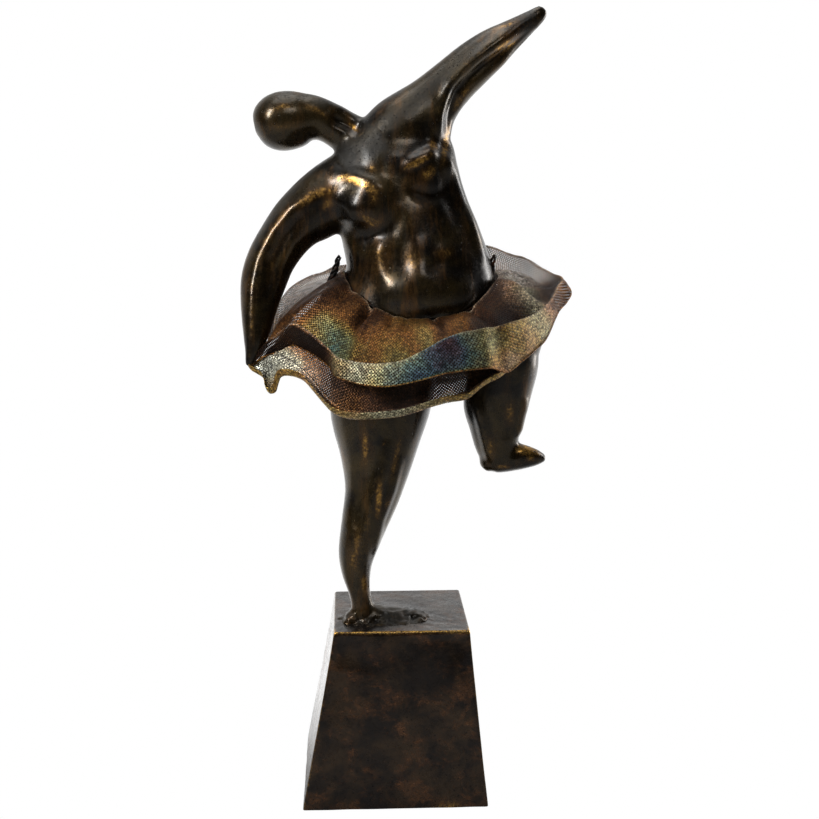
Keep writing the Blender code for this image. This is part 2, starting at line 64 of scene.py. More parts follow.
def maths(tree, operation, a, b=0.0, clamp=False):
    return node(tree, "Math", {0: a, 1: b}, operation=operation, use_clamp=clamp).outputs[0]


def times(tree, a, b, clamp=False):
    return maths(tree, "MULTIPLY", a, b, clamp)


def plus(tree, a, b, clamp=False):
    return maths(tree, "ADD", a, b, clamp)


def scaled(tree, value, by, more):
    return node(tree, "Math", {0: value, 1: by, 2: more}, operation="MULTIPLY_ADD").outputs[0]


def grain(tree, vector, size, detail, **inputs):
    # noise: its value, 0 to 1
    given = {key.capitalize(): value for key, value in inputs.items()}
    return node(tree, "TexNoise", {"Vector": vector, "Scale": size, "Detail": detail, **given}).outputs[0]


def blendOf(tree, share, a, b, kind="MIX"):
    made = node(tree, "Mix", data_type="RGBA", blend_type=kind)
    wide = [(*value, 1) if isinstance(value, tuple) else value for value in (a, b)]
    fill(tree, made, {0: share, 6: wide[0], 7: wide[1]})
    return made.outputs[2]


def between(tree, value, low, high, a=0.0, b=1.0):
    span = {"Value": value, "From Min": low, "From Max": high, "To Min": a, "To Max": b}
    return node(tree, "MapRange", span, interpolation_type="SMOOTHSTEP").outputs[0]


def newGroup(name, inputs, outputs):
    tree = bpy.data.node_groups.new(name, "ShaderNodeTree")
    for title, kind, value in inputs:
        socket = tree.interface.new_socket(title, in_out="INPUT", socket_type="NodeSocket" + kind)
        if value is not None:
            socket.default_value = value
    for title in outputs:
        tree.interface.new_socket(title, in_out="OUTPUT", socket_type="NodeSocketFloat")
    return tree, tree.nodes.new("NodeGroupInput").outputs, tree.nodes.new("NodeGroupOutput").inputs


def useGroup(tree, group, inputs):
    made = node(tree, "Group", node_tree=group)
    fill(tree, made, inputs)
    return made.outputs


def newMaterial(name):
    made = bpy.data.materials.new(name)
    made.use_nodes = True
    return made, made.node_tree, made.node_tree.nodes["Principled BSDF"]


def bumped(tree, shader, height, strength, distance):
    bump = node(tree, "Bump", {"Height": height, "Strength": strength, "Distance": distance})
    tree.links.new(bump.outputs[0], shader.inputs["Normal"])


def placed(name, data):
    obj = bpy.data.objects.new(name, data)
    bpy.context.scene.collection.objects.link(obj)
    return obj


def objectFrom(bm, name):
    mesh = bpy.data.meshes.new(name)
    bm.to_mesh(mesh)
    bm.free()
    return placed(name, mesh)


# ---- camera, floor and light ----
studio = {
    "camera": (-0.0200, -0.6128, 0.2835),
    "pitchDown": 9.77,  # degrees
    "turnRight": 2.63,
    "lens": 58.9,
    "sensor": 36,
    "floorReach": 6,
    "floorTone": 0.45,  # what the bronze sees of it; the camera sees white
    "sweepStarts": (-0.01, 0.12),  # the glowing sweep, painted light, grows between these places behind the figure
    "sweepGlow": 0.9,
    "backdrop": 1.0,  # how bright the white behind the figure is
    "frontRoom": 0.022,  # the dim side of the room, in front
    "roomTurns": (0.50, 0.86),  # where the dim side ends and the bright side starts
    "gamma": 0.88,  # a little more contrast
    "aim": (0.0, 0.0, 0.20),
    # place, width and height, watts
    "lights": {
        "topSoftbox": ((-0.1, 0.05, 1.25), (0.8, 0.6), 7),
        "leftStrip": ((-0.86, -0.72, 0.86), (0.16, 0.5), 12.5),
        "frontSoftbox": ((0.15, -1.05, 1.15), (0.45, 0.35), 2.8),
        "rightFill": ((1.0, 0.5, 0.35), (0.35, 0.8), 6),
    },
}


def grey(tone):
    return (tone, tone, tone, 1)


def makeCamera():
    data = bpy.data.cameras.new("camera")
    data.lens = studio["lens"]
    data.sensor_width = studio["sensor"]
    data.clip_start = 0.05
    camera = placed("camera", data)
    camera.location = studio["camera"]
    camera.rotation_euler = (math.radians(90 - studio["pitchDown"]), 0, -math.radians(studio["turnRight"]))
    bpy.context.scene.camera = camera


def makeFloor():
    bm = bmesh.new()
    bmesh.ops.create_grid(bm, x_segments=1, y_segments=1, size=studio["floorReach"])
    floor = objectFrom(bm, "floor")
    paint, tree, shader = newMaterial("paleFloor")
    # painted light: the sweep behind the figure glows, and shows in the bronze at a glancing angle
    back = node(tree, "SeparateXYZ", {0: node(tree, "TexCoord").outputs["Object"]}).outputs["Y"]
    start, full = studio["sweepStarts"]
    sweep = node(tree, "MapRange", {"Value": back, "From Min": start, "From Max": full, "To Max": studio["sweepGlow"]})
    fill(tree, shader, {
        "Base Color": grey(studio["floorTone"]),
        "Roughness": 0.9,
        "Specular IOR Level": 0.1,
        "Emission Color": grey(1),
        "Emission Strength": sweep.outputs[0],
    })
    # seen straight on, the floor is as white as the sweep
    straight = node(tree, "LightPath").outputs["Is Camera Ray"]
    glow = node(tree, "Emission").outputs[0]
    either = node(tree, "MixShader", {0: straight, 1: shader.outputs[0], 2: glow})
    tree.links.new(either.outputs[0], tree.nodes["Material Output"].inputs["Surface"])
    floor.data.materials.append(paint)


def makeBackdrop():
    world = bpy.data.worlds.new("studio")
    bpy.context.scene.world = world
    world.use_nodes = True
    tree = world.node_tree
    tree.nodes.clear()
    back = node(tree, "SeparateXYZ", {0: node(tree, "TexCoord").outputs["Generated"]}).outputs["Y"]
    ramp = node(tree, "ValToRGB", {0: scaled(tree, back, 0.5, 0.5)})
    for stop, at, tone in zip(ramp.color_ramp.elements, studio["roomTurns"], ("frontRoom", "backdrop")):
        stop.position = at
        stop.color = grey(studio[tone])
    room = node(tree, "Background", {"Color": ramp.outputs[0]}).outputs[0]
    white = node(tree, "Background", {"Color": grey(1)}).outputs[0]
    straight = node(tree, "LightPath").outputs["Is Camera Ray"]
    both = node(tree, "MixShader", {0: straight, 1: room, 2: white})
    node(tree, "OutputWorld", {"Surface": both.outputs[0]})


def makeLights():
    for name, (place, size, watts) in studio["lights"].items():
        data = bpy.data.lights.new(name, "AREA")
        data.shape = "RECTANGLE"
        data.size, data.size_y = size
        data.energy = watts
        lamp = placed(name, data)
        lamp.location = place
        lamp.rotation_euler = (Vector(studio["aim"]) - lamp.location).to_track_quat("-Z", "Y").to_euler()


makeCamera()
makeFloor()
makeBackdrop()
makeLights()
bpy.context.scene.view_settings.view_transform = "Standard"
bpy.context.scene.view_settings.gamma = studio["gamma"]
print("studio set")

# ---- the bronze figure ----
# Stations: x, y, z of the middle, half width across the front view, half depth, in millimetres.
# A ridge is a raised edge on the section: (angle in degrees, height, width in degrees); 270 faces the front.
figure = {
    "grain": 0.8,  # spacing of the finished skin
    "soften": 14,
    "settle": 12,  # rounds of smoothing over the worked front
    "torso": [
        (8, 3, 196, 25, 22),
        (9, 3, 206, 37, 29),
        (10, 2, 222, 40.5, 30.5),
        (11.5, 0, 238, 36, 28),
        (10, -1, 250, 32, 25),
        (6, -1, 262, 29.5, 22),
        (2.5, 0, 275, 28.5, 20.5),
        (1, 1, 288, 27.5, 18.5),
        (-1, 3, 299, 24, 15),
        (-1, 4, 307, 15, 10),
    ],
    "raisedArm": [
        (-6, 1, 289, 19, 15),
        (8, 1, 304.5, 18.5, 13.5),
        (19.5, 1, 318, 12.6, 10.5),
        (27.5, 1, 326, 10.8, 9.2),
        (36.5, 1, 334, 10, 8.6),
        (45.5, 1, 341, 8.8, 7.6),
        (54, 1, 347, 6.6, 5.8),
        (62, 0, 352.6, 4.6, 4.2),
        (67, 0, 356.6, 3.2, 3),
        (68.4, 0, 357.8, 1.4, 1.4),
    ],
    "loweredArm": [
        (-12, 1, 284, 16, 13),
        (-24, 1, 277.5, 15.5, 13.5),
        (-34.5, 0, 270, 14.6, 12.5),
        (-42, -1, 264.5, 12.8, 11.5),
        (-48.5, -1.5, 257, 11.5, 10.5),
        (-54.5, -3, 247.5, 10.9, 9.6),
        (-58, -6, 237.5, 10.3, 8.6),
        (-60, -10, 226, 8.2, 7.2),
        (-61.2, -14, 215, 5.9, 5.4),
        (-62.8, -16.5, 207, 3.5, 3.6),
        (-64.8, -18, 201, 1.5, 1.8),
    ],
    "head": [
        (-61.4, 4, 307.6, 4.2, 4),
        (-59, 4, 308, 8.4, 8),
        (-55, 4, 308.4, 11.6, 11),
        (-49, 4, 308.9, 13.2, 12.4),
        (-42, 4, 309.8, 12.5, 11.8),
        (-35.5, 4, 310.3, 10.2, 9.8),
        (-29, 4, 308.6, 8.8, 8.4),
        (-21, 4, 304.4, 9.4, 8.6),
        (-12, 4, 298.5, 10.5, 9),
    ],
    "standingLeg": [
        (2, 2, 214, 26, 24),
        (-3, 1, 197, 25, 23.5),
        (-6, -2, 176, 22.8, 20.5),
        (-7, -5, 158, 17.6, 16.6),
        (-9, -8, 142, 13.4, 13.6),
        (-13, -10, 127.5, 10.9, 11.6),
        (-16.7, -12, 113.5, 8.7, 9.6),
        (-17.2, -13.2, 104, 6.8, 7.4),
        (-16, -14.2, 96, 5.2, 5.6),
        (-14.6, -14.4, 89, 5.2, 5.6),
        (-13.5, -14.4, 82, 6.4, 6.8),
    ],
    "standingFoot": [
        (-22, -15.6, 82, 2.6, 3.4),
        (-17, -15.2, 83, 5.2, 6),
        (-9, -14, 82.6, 5.6, 7),
        (0, -12.2, 81.4, 4.6, 7.8),
        (8, -10.6, 80.8, 3.6, 7.4),
        (14, -9.4, 80.4, 2.6, 5.4),
        (17, -8.8, 80.2, 1.4, 3),
    ],
    "raisedLeg": [
        (18, 1, 221, 23, 24),
        (32, -1, 217, 22, 23),
        (46, -4, 211.5, 20, 20),
        (51.5, -6, 202, 15.8, 17),
        (49.4, -7, 191, 15.4, 15.2),
        (47.2, -8, 181, 14.8, 13.4),
        (47.4, -8, 172, 12.4, 11.4),
        (48, -8, 163.5, 10.4, 9.2),
        (50, -8, 157, 8.8, 7.6),
    ],
    "raisedFoot": [
        (42.2, -8, 151.2, 2.4, 3.4),
        (45, -8, 154.2, 5.6, 6.2),
        (52, -8, 156.4, 6.8, 7.2),
        (59, -8, 156.6, 6, 7),
        (65, -8, 156.2, 4.2, 5.8),
        (69.4, -8, 156.2, 2.4, 3.6),
        (71, -8, 156.4, 1.3, 2),
    ],
    # rounded masses: middle, half sizes
    "masses": {
        "belly": ((13, -13, 233), (26, 18, 21)),
        "breastByLoweredArm": ((-10, -10, 271), (15.5, 12.5, 13.5)),
        "breastByRaisedArm": ((14.5, -8.5, 288), (12, 10.5, 11)),
        "buttockStanding": ((-9, 17, 212), (24, 18, 21)),
        "buttockRaised": ((27, 17, 217), (23, 17, 20)),
        "raisedKnee": ((56, -6, 210), (12.5, 14, 12)),
        "ground": ((-5, -13.2, 80.2), (22, 13, 2.4)),
        "seat": ((24, 4, 201), (15, 15, 12)),
    },
}


def curvePiece(four, steps):
    # Catmull-Rom from the second of four points to the third, which is left out
    a, b, c, d = four
    shares = [k / steps for k in range(steps)]
    return [
        0.5 * (2 * b + (c - a) * t + (2 * a - 5 * b + 4 * c - d) * t**2 + (3 * b - a - 3 * c + d) * t**3)
        for t in shares
    ]


def splineThrough(points, steps):
    # a smooth run through every point, steps pieces between each pair
    pts = [np.array(p, float) for p in points]
    pts = [2 * pts[0] - pts[1], *pts, 2 * pts[-1] - pts[-2]]
    fine = []
    for i in range(1, len(pts) - 2):
        fine += curvePiece(pts[i - 1 : i + 3], steps)
    fine.append(pts[-2])
    return fine


def addLimb(bm, stations, sides=40, steps=5):
    # round sections set along the stations and bridged, one to the next
    fine = splineThrough(stations, steps)
    middles = [Vector(s[:3]) for s in fine]
    before = None
    for i, station in enumerate(fine):
        along = (middles[min(i + 1, len(fine) - 1)] - middles[max(i - 1, 0)]).normalized()
        across = along.cross(Vector((0, 1, 0))).normalized()
        deep = along.cross(across).normalized()
        turn = Matrix((across * station[3], deep * station[4], along)).transposed().to_4x4()
        place = Matrix.Scale(mm, 4) @ Matrix.Translation(middles[i]) @ turn
        ends = i in (0, len(fine) - 1)
        ring = bmesh.ops.create_circle(bm, cap_ends=ends, segments=sides, radius=1, matrix=place)["verts"]
        rim = list({e for v in ring for e in v.link_edges})
        if before:
            bmesh.ops.bridge_loops(bm, edges=before + rim)
        before = rim


def addMass(bm, middle, halves):
    place = Matrix.Translation(Vector(middle) * mm) @ Matrix.Diagonal((*(Vector(halves) * mm), 1))
    bmesh.ops.create_uvsphere(bm, u_segments=48, v_segments=32, radius=1, matrix=place)


def applied(obj):
    # the mesh with its modifiers taken in; the object goes
    bpy.context.view_layer.update()
    graph = bpy.context.evaluated_depsgraph_get()
    mesh = bpy.data.meshes.new_from_object(obj.evaluated_get(graph))
    bpy.data.objects.remove(obj)
    return mesh


def readAll(items, what, wide=1, kind=np.float32):
    # one value or vector from every item, as an array
    flat = np.empty(len(items) * wide, kind)
    items.foreach_get(what, flat)
    return flat.reshape(-1, wide) if wide > 1 else flat


def meshPoints(mesh):
    return readAll(mesh.vertices, "co", 3).astype(float)


def meshNormals(mesh):
    return readAll(mesh.vertices, "normal", 3).astype(float)


def setPoints(mesh, points):
    mesh.vertices.foreach_set("co", points.astype(np.float32).ravel())
    mesh.update()


def neighbourMean(values, pairs):
    # each point's value averaged over the points joined to it
    flat = values.reshape(len(values), -1)
    ends, others = pairs.T.ravel(), pairs[:, ::-1].T.ravel()
    count = np.maximum(np.bincount(ends, minlength=len(flat)), 1)
    total = [np.bincount(ends, weights=flat[others, k], minlength=len(flat)) / count for k in range(flat.shape[1])]
    return np.stack(total, 1).reshape(values.shape)


def strokeDistance(points, path):
    # distance in the front view from each point to a path of x, z places, and how far along it
    flat = points[:, [0, 2]] / mm
    best = np.full(len(flat), 1e9)
    share = np.zeros(len(flat))
    total = len(path) - 1
    for i in range(max(total, 1)):
        a = np.array(path[i], float)
        b = np.array(path[min(i + 1, total)], float)
        span = b - a
        t = np.clip(((flat - a) @ span) / max(span @ span, 1e-9), 0, 1)
        away = np.linalg.norm(flat - a - t[:, None] * span, axis=1)
        nearer = away < best
        best[nearer] = away[nearer]
        share[nearer] = (i + t[nearer]) / max(total, 1)
    return best, share


def stroke(points, normals, path, width, taper=0.25):
    # how strongly each point of the front feels a stroke: 1 on its line, 0 past its width
    away, share = strokeDistance(points, path)
    feel = np.clip(1 - away / width, 0, 1)
    feel = feel * feel * (3 - 2 * feel)
    feel = feel * np.clip(share / taper, 0, 1) ** 0.7 * np.clip((1 - share) / taper, 0, 1) ** 0.7
    return feel * np.clip(-normals[:, 1] * 4 + 0.6, 0, 1)


# ---- shape worked into the wax by hand: path of x, z, width, lift in millimetres ----
worked = {
    "armRidge": ([(18, 290), (19.5, 300), (21, 311), (26.5, 324.5), (37.5, 335.5), (51.5, 345.5), (62.5, 354)], 5.5, 2.0),
    "armGroove": (
        [(25, 300), (25.8, 312), (28.5, 321), (33.5, 327.5), (44.5, 335.5), (54.5, 341.5), (64, 350.5)],
        4.6,
        -2.6,
    ),
    "armUpperPlane": ([(6, 310), (18, 323), (32, 336), (46, 346)], 6.0, -0.5),
    "sideRidge": ([(27.5, 309), (25.5, 299), (26.5, 290), (31, 275), (37, 259), (42, 246)], 4.2, 2.0),
    "sideHollow": ([(21.5, 303), (21, 292), (24.5, 276), (30, 260)], 5.0, -1.2),
    "breastbone": ([(3, 293), (3, 281), (4.5, 268)], 8.5, -1.0),
    "bellyFurrow": ([(3, 262), (2.5, 251), (5, 239)], 7.0, -0.9),
    "bellyLeft": ([(-6, 258), (-6.5, 249), (-5, 239)], 5.0, 0.8),
    "bellyRight": ([(11, 259), (12, 249), (12, 239)], 7.0, 0.6),
    "bellyDent": ([(17.5, 248), (20, 244)], 7.0, -0.4),
    "flank": ([(19, 252), (29, 253)], 6.0, 0.7),
    "underBreastLeft": ([(-23, 262), (-12, 258.5), (-2, 262), (1.5, 271)], 7.5, -1.9),
    "overBreastLeft": ([(-28, 285), (-16, 284), (-7, 280.5), (-1, 275)], 6.0, 1.5),
    "underBreastRight": ([(7, 280), (11, 277), (18, 276), (24, 277)], 4.8, -1.8),
    "overBreastRight": ([(3, 288), (11, 291.5), (19, 296)], 4.0, 1.6),
    "sideBreastRight": ([(22.5, 292), (23.5, 284), (22.5, 279)], 3.6, 0.3),
    "armpitHollow": ([(-29, 272), (-23, 268), (-22, 258)], 5.0, -1.0),
    "loweredRidge": (
        [(-20, 281), (-33, 276.5), (-45, 270), (-53.5, 260), (-59.5, 248), (-62, 235), (-62.5, 222), (-63, 210)],
        5.2,
        1.0,
    ),
    "loweredGroove": ([(-40, 268), (-48, 259), (-53, 248), (-55, 237), (-56.5, 226)], 4.2, -1.1),
    "loweredInner": ([(-36, 262), (-44, 255), (-50, 243), (-53, 232)], 3.6, 0.7),
    "neckHollow": ([(-27, 311), (-20, 308), (-13, 303.5)], 4.6, -2.6),
    "neckTop": ([(-38, 319), (-28, 316.5), (-18, 312)], 4.0, 0.7),
    "jaw": ([(-46, 300.5), (-38, 303), (-31, 304)], 4.5, -0.7),
    "shin": ([(-3, 168), (-5, 153), (-9.5, 138), (-13.5, 122), (-15, 106), (-14, 97)], 5.0, 1.6),
    "calfHollow": ([(-13, 160), (-15, 142), (-18.5, 126)], 5.5, -1.1),
    "shinRight": ([(3.5, 160), (-1, 144), (-6.5, 130), (-9.5, 114)], 3.6, 1.3),
    "heelHollow": ([(-19.5, 110), (-18.5, 101), (-17, 95)], 3.0, -0.6),
    "raisedRidge": ([(37, 187), (40.5, 174), (43.5, 162), (45.5, 155)], 4.0, 1.7),
    "raisedHollow": ([(50, 188), (51, 176), (52, 166)], 6.5, -1.2),
    "raisedEdge": ([(60.5, 186), (58.5, 174), (57, 167)], 3.4, 1.3),
    "instep": ([(55, 162), (63, 160), (69, 158)], 3.6, 0.8),
}
# where the clay was smoothed over: x, z, reach, rounds
smoothed = [
    (-10, 272, 27, 150),
    (14, 288, 20, 110),
    (-24, 284, 16, 80),
    (10, 246, 34, 60),
    (-22, 305, 12, 24),
    (27, 318, 14, 40),
    (-40, 268, 12, 30),
]


def roughness(points, waves, where=None):
    # noise summed at each (frequency, height), nothing outside where
    values = np.zeros(len(points))
    for i in range(len(points)) if where is None else np.flatnonzero(where):
        values[i] = sum(high * noise.noise(Vector(points[i]) * often) for often, high in waves)
    return values


def figureSkin():
    bm = bmesh.new()
    for limb in ("torso", "raisedArm", "loweredArm", "head", "standingLeg", "standingFoot", "raisedLeg", "raisedFoot"):
        addLimb(bm, figure[limb])
    for middle, halves in figure["masses"].values():
        addMass(bm, middle, halves)
    blank = objectFrom(bm, "figureBlank")
    fuse = blank.modifiers.new("fuse", "REMESH")
    fuse.mode = "VOXEL"
    fuse.voxel_size = figure["grain"] * mm
    soft = blank.modifiers.new("soften", "SMOOTH")
    soft.factor = 0.5
    soft.iterations = figure["soften"]
    skin = applied(blank)
    pairs = readAll(skin.edges, "vertices", 2, np.int32)
    points, normals = meshPoints(skin), meshNormals(skin)
    front = np.clip(-normals[:, 1] * 3 + 0.4, 0, 1)
    for x, z, reach, rounds in smoothed:
        away = np.hypot(points[:, 0] / mm - x, points[:, 2] / mm - z)
        feel = (np.clip(1.6 - 1.6 * away / reach, 0, 1) * front)[:, None]
        for _ in range(rounds):
            points = points + 0.5 * feel * (neighbourMean(points, pairs) - points)
    for path, width, lift in worked.values():
        points = points + normals * (stroke(points, normals, path, width) * lift * mm)[:, None]
    offCentre = np.hypot((points[:, 0] / mm - 4) / 30, (points[:, 2] / mm - 262) / 42)
    torsoFront = np.clip(1.5 - offCentre, 0, 1) * front
    for _ in range(figure["settle"]):
        points = points + 0.5 * torsoFront[:, None] * (neighbourMean(points, pairs) - points)
    # the ground round the standing foot was left rough
    low = np.clip((89 - points[:, 2] / mm) / 6, 0, 1)
    lumps = roughness(points, ((260, 1), (620, 0.8)), low > 0)
    points = points + normals * (low * lumps * 1.5 * mm)[:, None]
    for _ in range(2):
        points = 0.5 * points + 0.5 * neighbourMean(points, pairs)
    setPoints(skin, points)
    print("figure skin:", len(skin.vertices), "points")
    return skin, pairs


skin, skinPairs = figureSkin()
bodyTree = BVHTree.FromPolygons([v.co[:] for v in skin.vertices], [p.vertices[:] for p in skin.polygons])

# rubbed through to bright metal by handling, and painted highlights, as on the belly and the tops of the breasts: path
# of x, z, width, strength
rubbedAndHighlights = [
    ([(40, 333), (48, 340.5), (58, 348)], 1.8, 0.7),
    ([(46, 335.5), (52, 341), (57, 345.5)], 1.5, 0.7),
    ([(26.5, 311), (31, 319.5), (38, 329)], 2.4, 0.5),
    ([(21.5, 287), (24, 299), (26.5, 311)], 2.4, 0.65),
    ([(44, 348), (57, 352.5)], 1.4, 0.5),
    ([(-54, 312.5), (-48, 315), (-43, 315)], 2.2, 0.5),
    ([(-56, 308), (-50, 306), (-44, 307), (-39, 310)], 2.4, 0.35),
    ([(-42, 316), (-34, 314), (-26, 309)], 2.0, 0.5),
    ([(-20, 309), (-14, 303.5)], 1.8, 0.7),
    ([(-28, 283), (-20, 284), (-12, 281), (-4, 277)], 2.4, 0.9),
    ([(-14, 284), (-9, 278), (-8, 271)], 3.0, 0.7),
    ([(-16, 272), (-10, 264), (-2, 266)], 3.4, 0.45),
    ([(-10, 291), (-8, 285)], 3.0, 0.45),
    ([(-22, 279.5), (-34, 277), (-45, 270)], 3.0, 0.7),
    ([(-24, 274), (-30, 271), (-26, 277)], 2.4, 0.5),
    ([(-42, 275), (-50, 266), (-57, 255), (-61.5, 243)], 1.8, 0.42),
    ([(-62, 236), (-62.5, 222), (-63.5, 208)], 1.6, 0.4),
    ([(-47, 262), (-53, 250), (-55, 236)], 1.8, 0.35),
    ([(3, 287), (11, 290.5), (19.5, 295.5)], 2.2, 0.8),
    ([(12.5, 283), (16, 286), (18.5, 290)], 3.2, 0.75),
    ([(16, 297), (20, 299)], 3.0, 0.75),
    ([(-6, 258), (-6, 241)], 3.4, 0.42),
    ([(6, 255), (10.5, 240)], 5.5, 0.4),
    ([(16, 252.5), (22, 251), (28, 252.5)], 3.4, 0.5),
    ([(-13, 176), (-12.5, 154)], 2.0, 0.6),
    ([(-9, 192), (-10, 170)], 3.0, 0.4),
    ([(4, 172), (-2, 146)], 2.2, 0.45),
    ([(-16, 130), (-17.5, 110)], 2.2, 0.5),
    ([(-4.6, 166.5), (-4, 166)], 1.6, 1.0),
    ([(-6, 152), (-7.5, 130)], 2.0, 0.85),
    ([(-1, 143), (-4, 134)], 2.2, 0.4),
    ([(-19, 120), (-18, 104)], 3.0, 0.45),
    ([(-14, 108), (-13, 92)], 2.2, 0.6),
    ([(54, 161), (61, 161), (70, 158)], 3.0, 1.0),
    ([(60, 158), (66, 157)], 3.0, 0.6),
    ([(46, 153.5), (55, 153)], 1.6, 0.6),
    ([(43, 170), (45, 156)], 2.2, 0.5),
    ([(52, 186), (53, 172)], 3.0, 0.5),
]
# dull grey skin where the wax has gone: path of x, z, width
dulled = [
    ([(-24, 290), (-14, 297), (-4, 303)], 12.0),
    ([(-6, 304), (8, 316), (24, 331), (40, 344)], 7.0),
    ([(-52, 320), (-40, 320), (-28, 316)], 4.5),
    ([(50, 350), (64, 356)], 4.0),
    ([(-32, 291), (-44, 280), (-54, 268)], 4.5),
    ([(-6, 84), (8, 83)], 10.0),
]


def storeFloat(mesh, name, values):
    layer = mesh.attributes.new(name, "FLOAT", "POINT")
    layer.data.foreach_set("value", np.asarray(values, np.float32))


def markWear(mesh, pairs):
    # proud places rub bright, hollows stay dark
    points, normals = meshPoints(mesh), meshNormals(mesh)
    bend = -np.einsum("ij,ij->i", neighbourMean(points, pairs) - points, normals) / mm
    for _ in range(12):
        bend = 0.4 * bend + 0.6 * neighbourMean(bend, pairs)
    storeFloat(mesh, "proud", np.clip(bend / 0.03, -1, 1))
    gold = np.zeros(len(points))
    for path, width, strength in rubbedAndHighlights:
        gold = np.maximum(gold, strength * stroke(points, normals, path, width * 1.3, taper=0.4))
    storeFloat(mesh, "gold", gold)
    dullAndSheen = np.zeros(len(points))
    for path, width in dulled:
        dullAndSheen = np.maximum(dullAndSheen, stroke(points, normals, path, width, taper=0.1))
    up = np.clip(normals[:, 2] * 1.6 - 0.5, 0, 1)  # dust lies on what faces up, and the grey there is also a painted sheen of the light from above
    storeFloat(mesh, "dullAndSheen", np.maximum(dullAndSheen, 0.6 * up))


markWear(skin, skinPairs)

# ---- the castings: the skin parted at the seams, which are chased so that none shows ----
seams = {
    "head": {"at": (-31, 4, 309.2), "into": (-1, 0, 0), "reach": 13.9, "depth": 45},
    "raised_arm": {"at": (22, 1, 320.6), "into": (0.70, 0, 0.71), "reach": 30, "depth": 80},
    "lowered_arm": {"at": (-49, -1.5, 256), "into": (-0.55, 0, -0.83), "reach": 22, "depth": 75},
    "standing_leg": {"at": (-4, 0, 191), "into": (0, 0, -1), "reach": 27, "depth": 120},
    "raised_leg": {"at": (38, -2, 214), "into": (0.85, 0, -0.53), "reach": 78, "depth": 80},
}
castingNames = {
    "torso": "torsoCasting",
    "head": "headCasting",
    "raised_arm": "raisedArmCasting",
    "lowered_arm": "loweredArmCasting",
    "standing_leg": "standingLegCasting",
    "raised_leg": "raisedLegCasting",
}


def cellOf(seam):
    at, into = Vector(seam["at"]) * mm, Vector(seam["into"]).normalized()
    across = into.cross(Vector((0, 1, 0)))

    def within(point, slack=0.0):
        away = point - at
        along = away.dot(into) / mm
        return -slack < along < seam["depth"] and abs(away.dot(across)) / mm < seam["reach"]

    return at, into, within


def partCastings(skinMesh):
    bm = bmesh.new()
    bm.from_mesh(skinMesh)
    for seam in seams.values():
        at, into, within = cellOf(seam)
        near = []
        for f in bm.faces:
            middle = f.calc_center_median()
            if within(middle, 4) and abs((middle - at).dot(into)) < 4 * mm:
                near.append(f)
        geom = list({v for f in near for v in f.verts}) + list({e for f in near for e in f.edges}) + near
        bmesh.ops.bisect_plane(bm, geom=geom, dist=1e-7, plane_co=at, plane_no=into)
    bm.normal_update()
    trueNormal = bm.verts.layers.float_vector.new("trueNormal")
    owner = bm.faces.layers.int.new("owner")
    for v in bm.verts:
        v[trueNormal] = v.normal
    order = list(castingNames)
    cells = {name: cellOf(seams[name])[2] for name in order[1:]}
    for f in bm.faces:
        middle = f.calc_center_median()
        name = next((n for n in order[1:] if cells[n](middle)), "torso")
        f[owner] = order.index(name)
    castings = {}
    for index, name in enumerate(order):
        part = bm.copy()
        mine = part.faces.layers.int["owner"]
        bmesh.ops.delete(part, geom=[f for f in part.faces if f[mine] != index], context="FACES")
        rim = [e for e in part.edges if e.is_boundary]
        for f in bmesh.ops.holes_fill(part, edges=rim, sides=0)["faces"]:
            f[mine] = -1
        for f in part.faces:
            f.smooth = True
        obj = objectFrom(part, castingNames[name])
        mesh = obj.data
        stored = readAll(mesh.attributes["trueNormal"].data, "vector", 3)
        normals = stored[readAll(mesh.loops, "vertex_index", 1, np.int32)]
        owners = readAll(mesh.attributes["owner"].data, "value", 1, np.int32)
        for k in np.flatnonzero(owners < 0):
            face = mesh.polygons[int(k)]
            normals[list(face.loop_indices)] = face.normal
        mesh.normals_split_custom_set(normals)
        mesh.attributes.remove(mesh.attributes["trueNormal"])
        mesh.attributes.remove(mesh.attributes["owner"])
        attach(obj, "root")
        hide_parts(name)
        castings[name] = obj
    bm.free()
    return castings


castings = partCastings(skin)
print("castings:", {k: len(o.data.polygons) for k, o in castings.items()})

# ---- the flared base ----
baseBlock = {
    "height": 80.5,
    "lift": 0.5,  # the felt stands this far below the rim
    "topSide": 62.0,
    "footSide": 84.6,
    "topShift": 3.4,
    "flare": 1.06,
    "wall": 4.5,
    "roof": 6.0,
    "corner": 0.9,  # rounding of the edges
    "wobble": 0.35,  # how far the hand-dressed sides stray from flat
    "rebate": (40.4, 1.7),  # half side and depth of the step that takes the felt
    "segments": 192,
    # bores for the stud under the heel and the pin under the toe: x, y, diameter, from, to
    "bores": [(-15, -14.3, 4.5, 60, 84), (5, -11.2, 3.5, 76.7, 84)],
}


def baseHalf(height):
    share = max(1 - height / baseBlock["height"], 0)
    return baseBlock["topSide"] / 2 + (baseBlock["footSide"] - baseBlock["topSide"]) / 2 * share ** baseBlock["flare"]


def squarePlace(v, half, height, corner):
    # where a point of a unit circle goes on a rounded square
    b = baseBlock
    level = min(max(height, 0), b["height"])
    shift = b["topShift"] * level / b["height"]
    turn = math.atan2(v.y, v.x)
    side = math.floor(turn / (math.pi / 2) + 0.5)
    t = (turn - side * math.pi / 2) / (math.pi / 4)
    t = math.copysign(1 - (1 - min(abs(t), 1)) ** 1.7, t)  # closer together towards the corners
    flat = Vector((half, t * half))
    keep = half - min(corner, half * 0.9)
    core = Vector((min(flat.x, keep), max(-keep, min(flat.y, keep))))
    rest = flat - core
    if rest.length > 1e-9:
        flat = core + rest.normalized() * min(corner, half * 0.9)
    turned = Matrix.Rotation(side * math.pi / 2, 2) @ flat
    return Vector((turned.x + shift, turned.y, height + b["lift"])) * mm


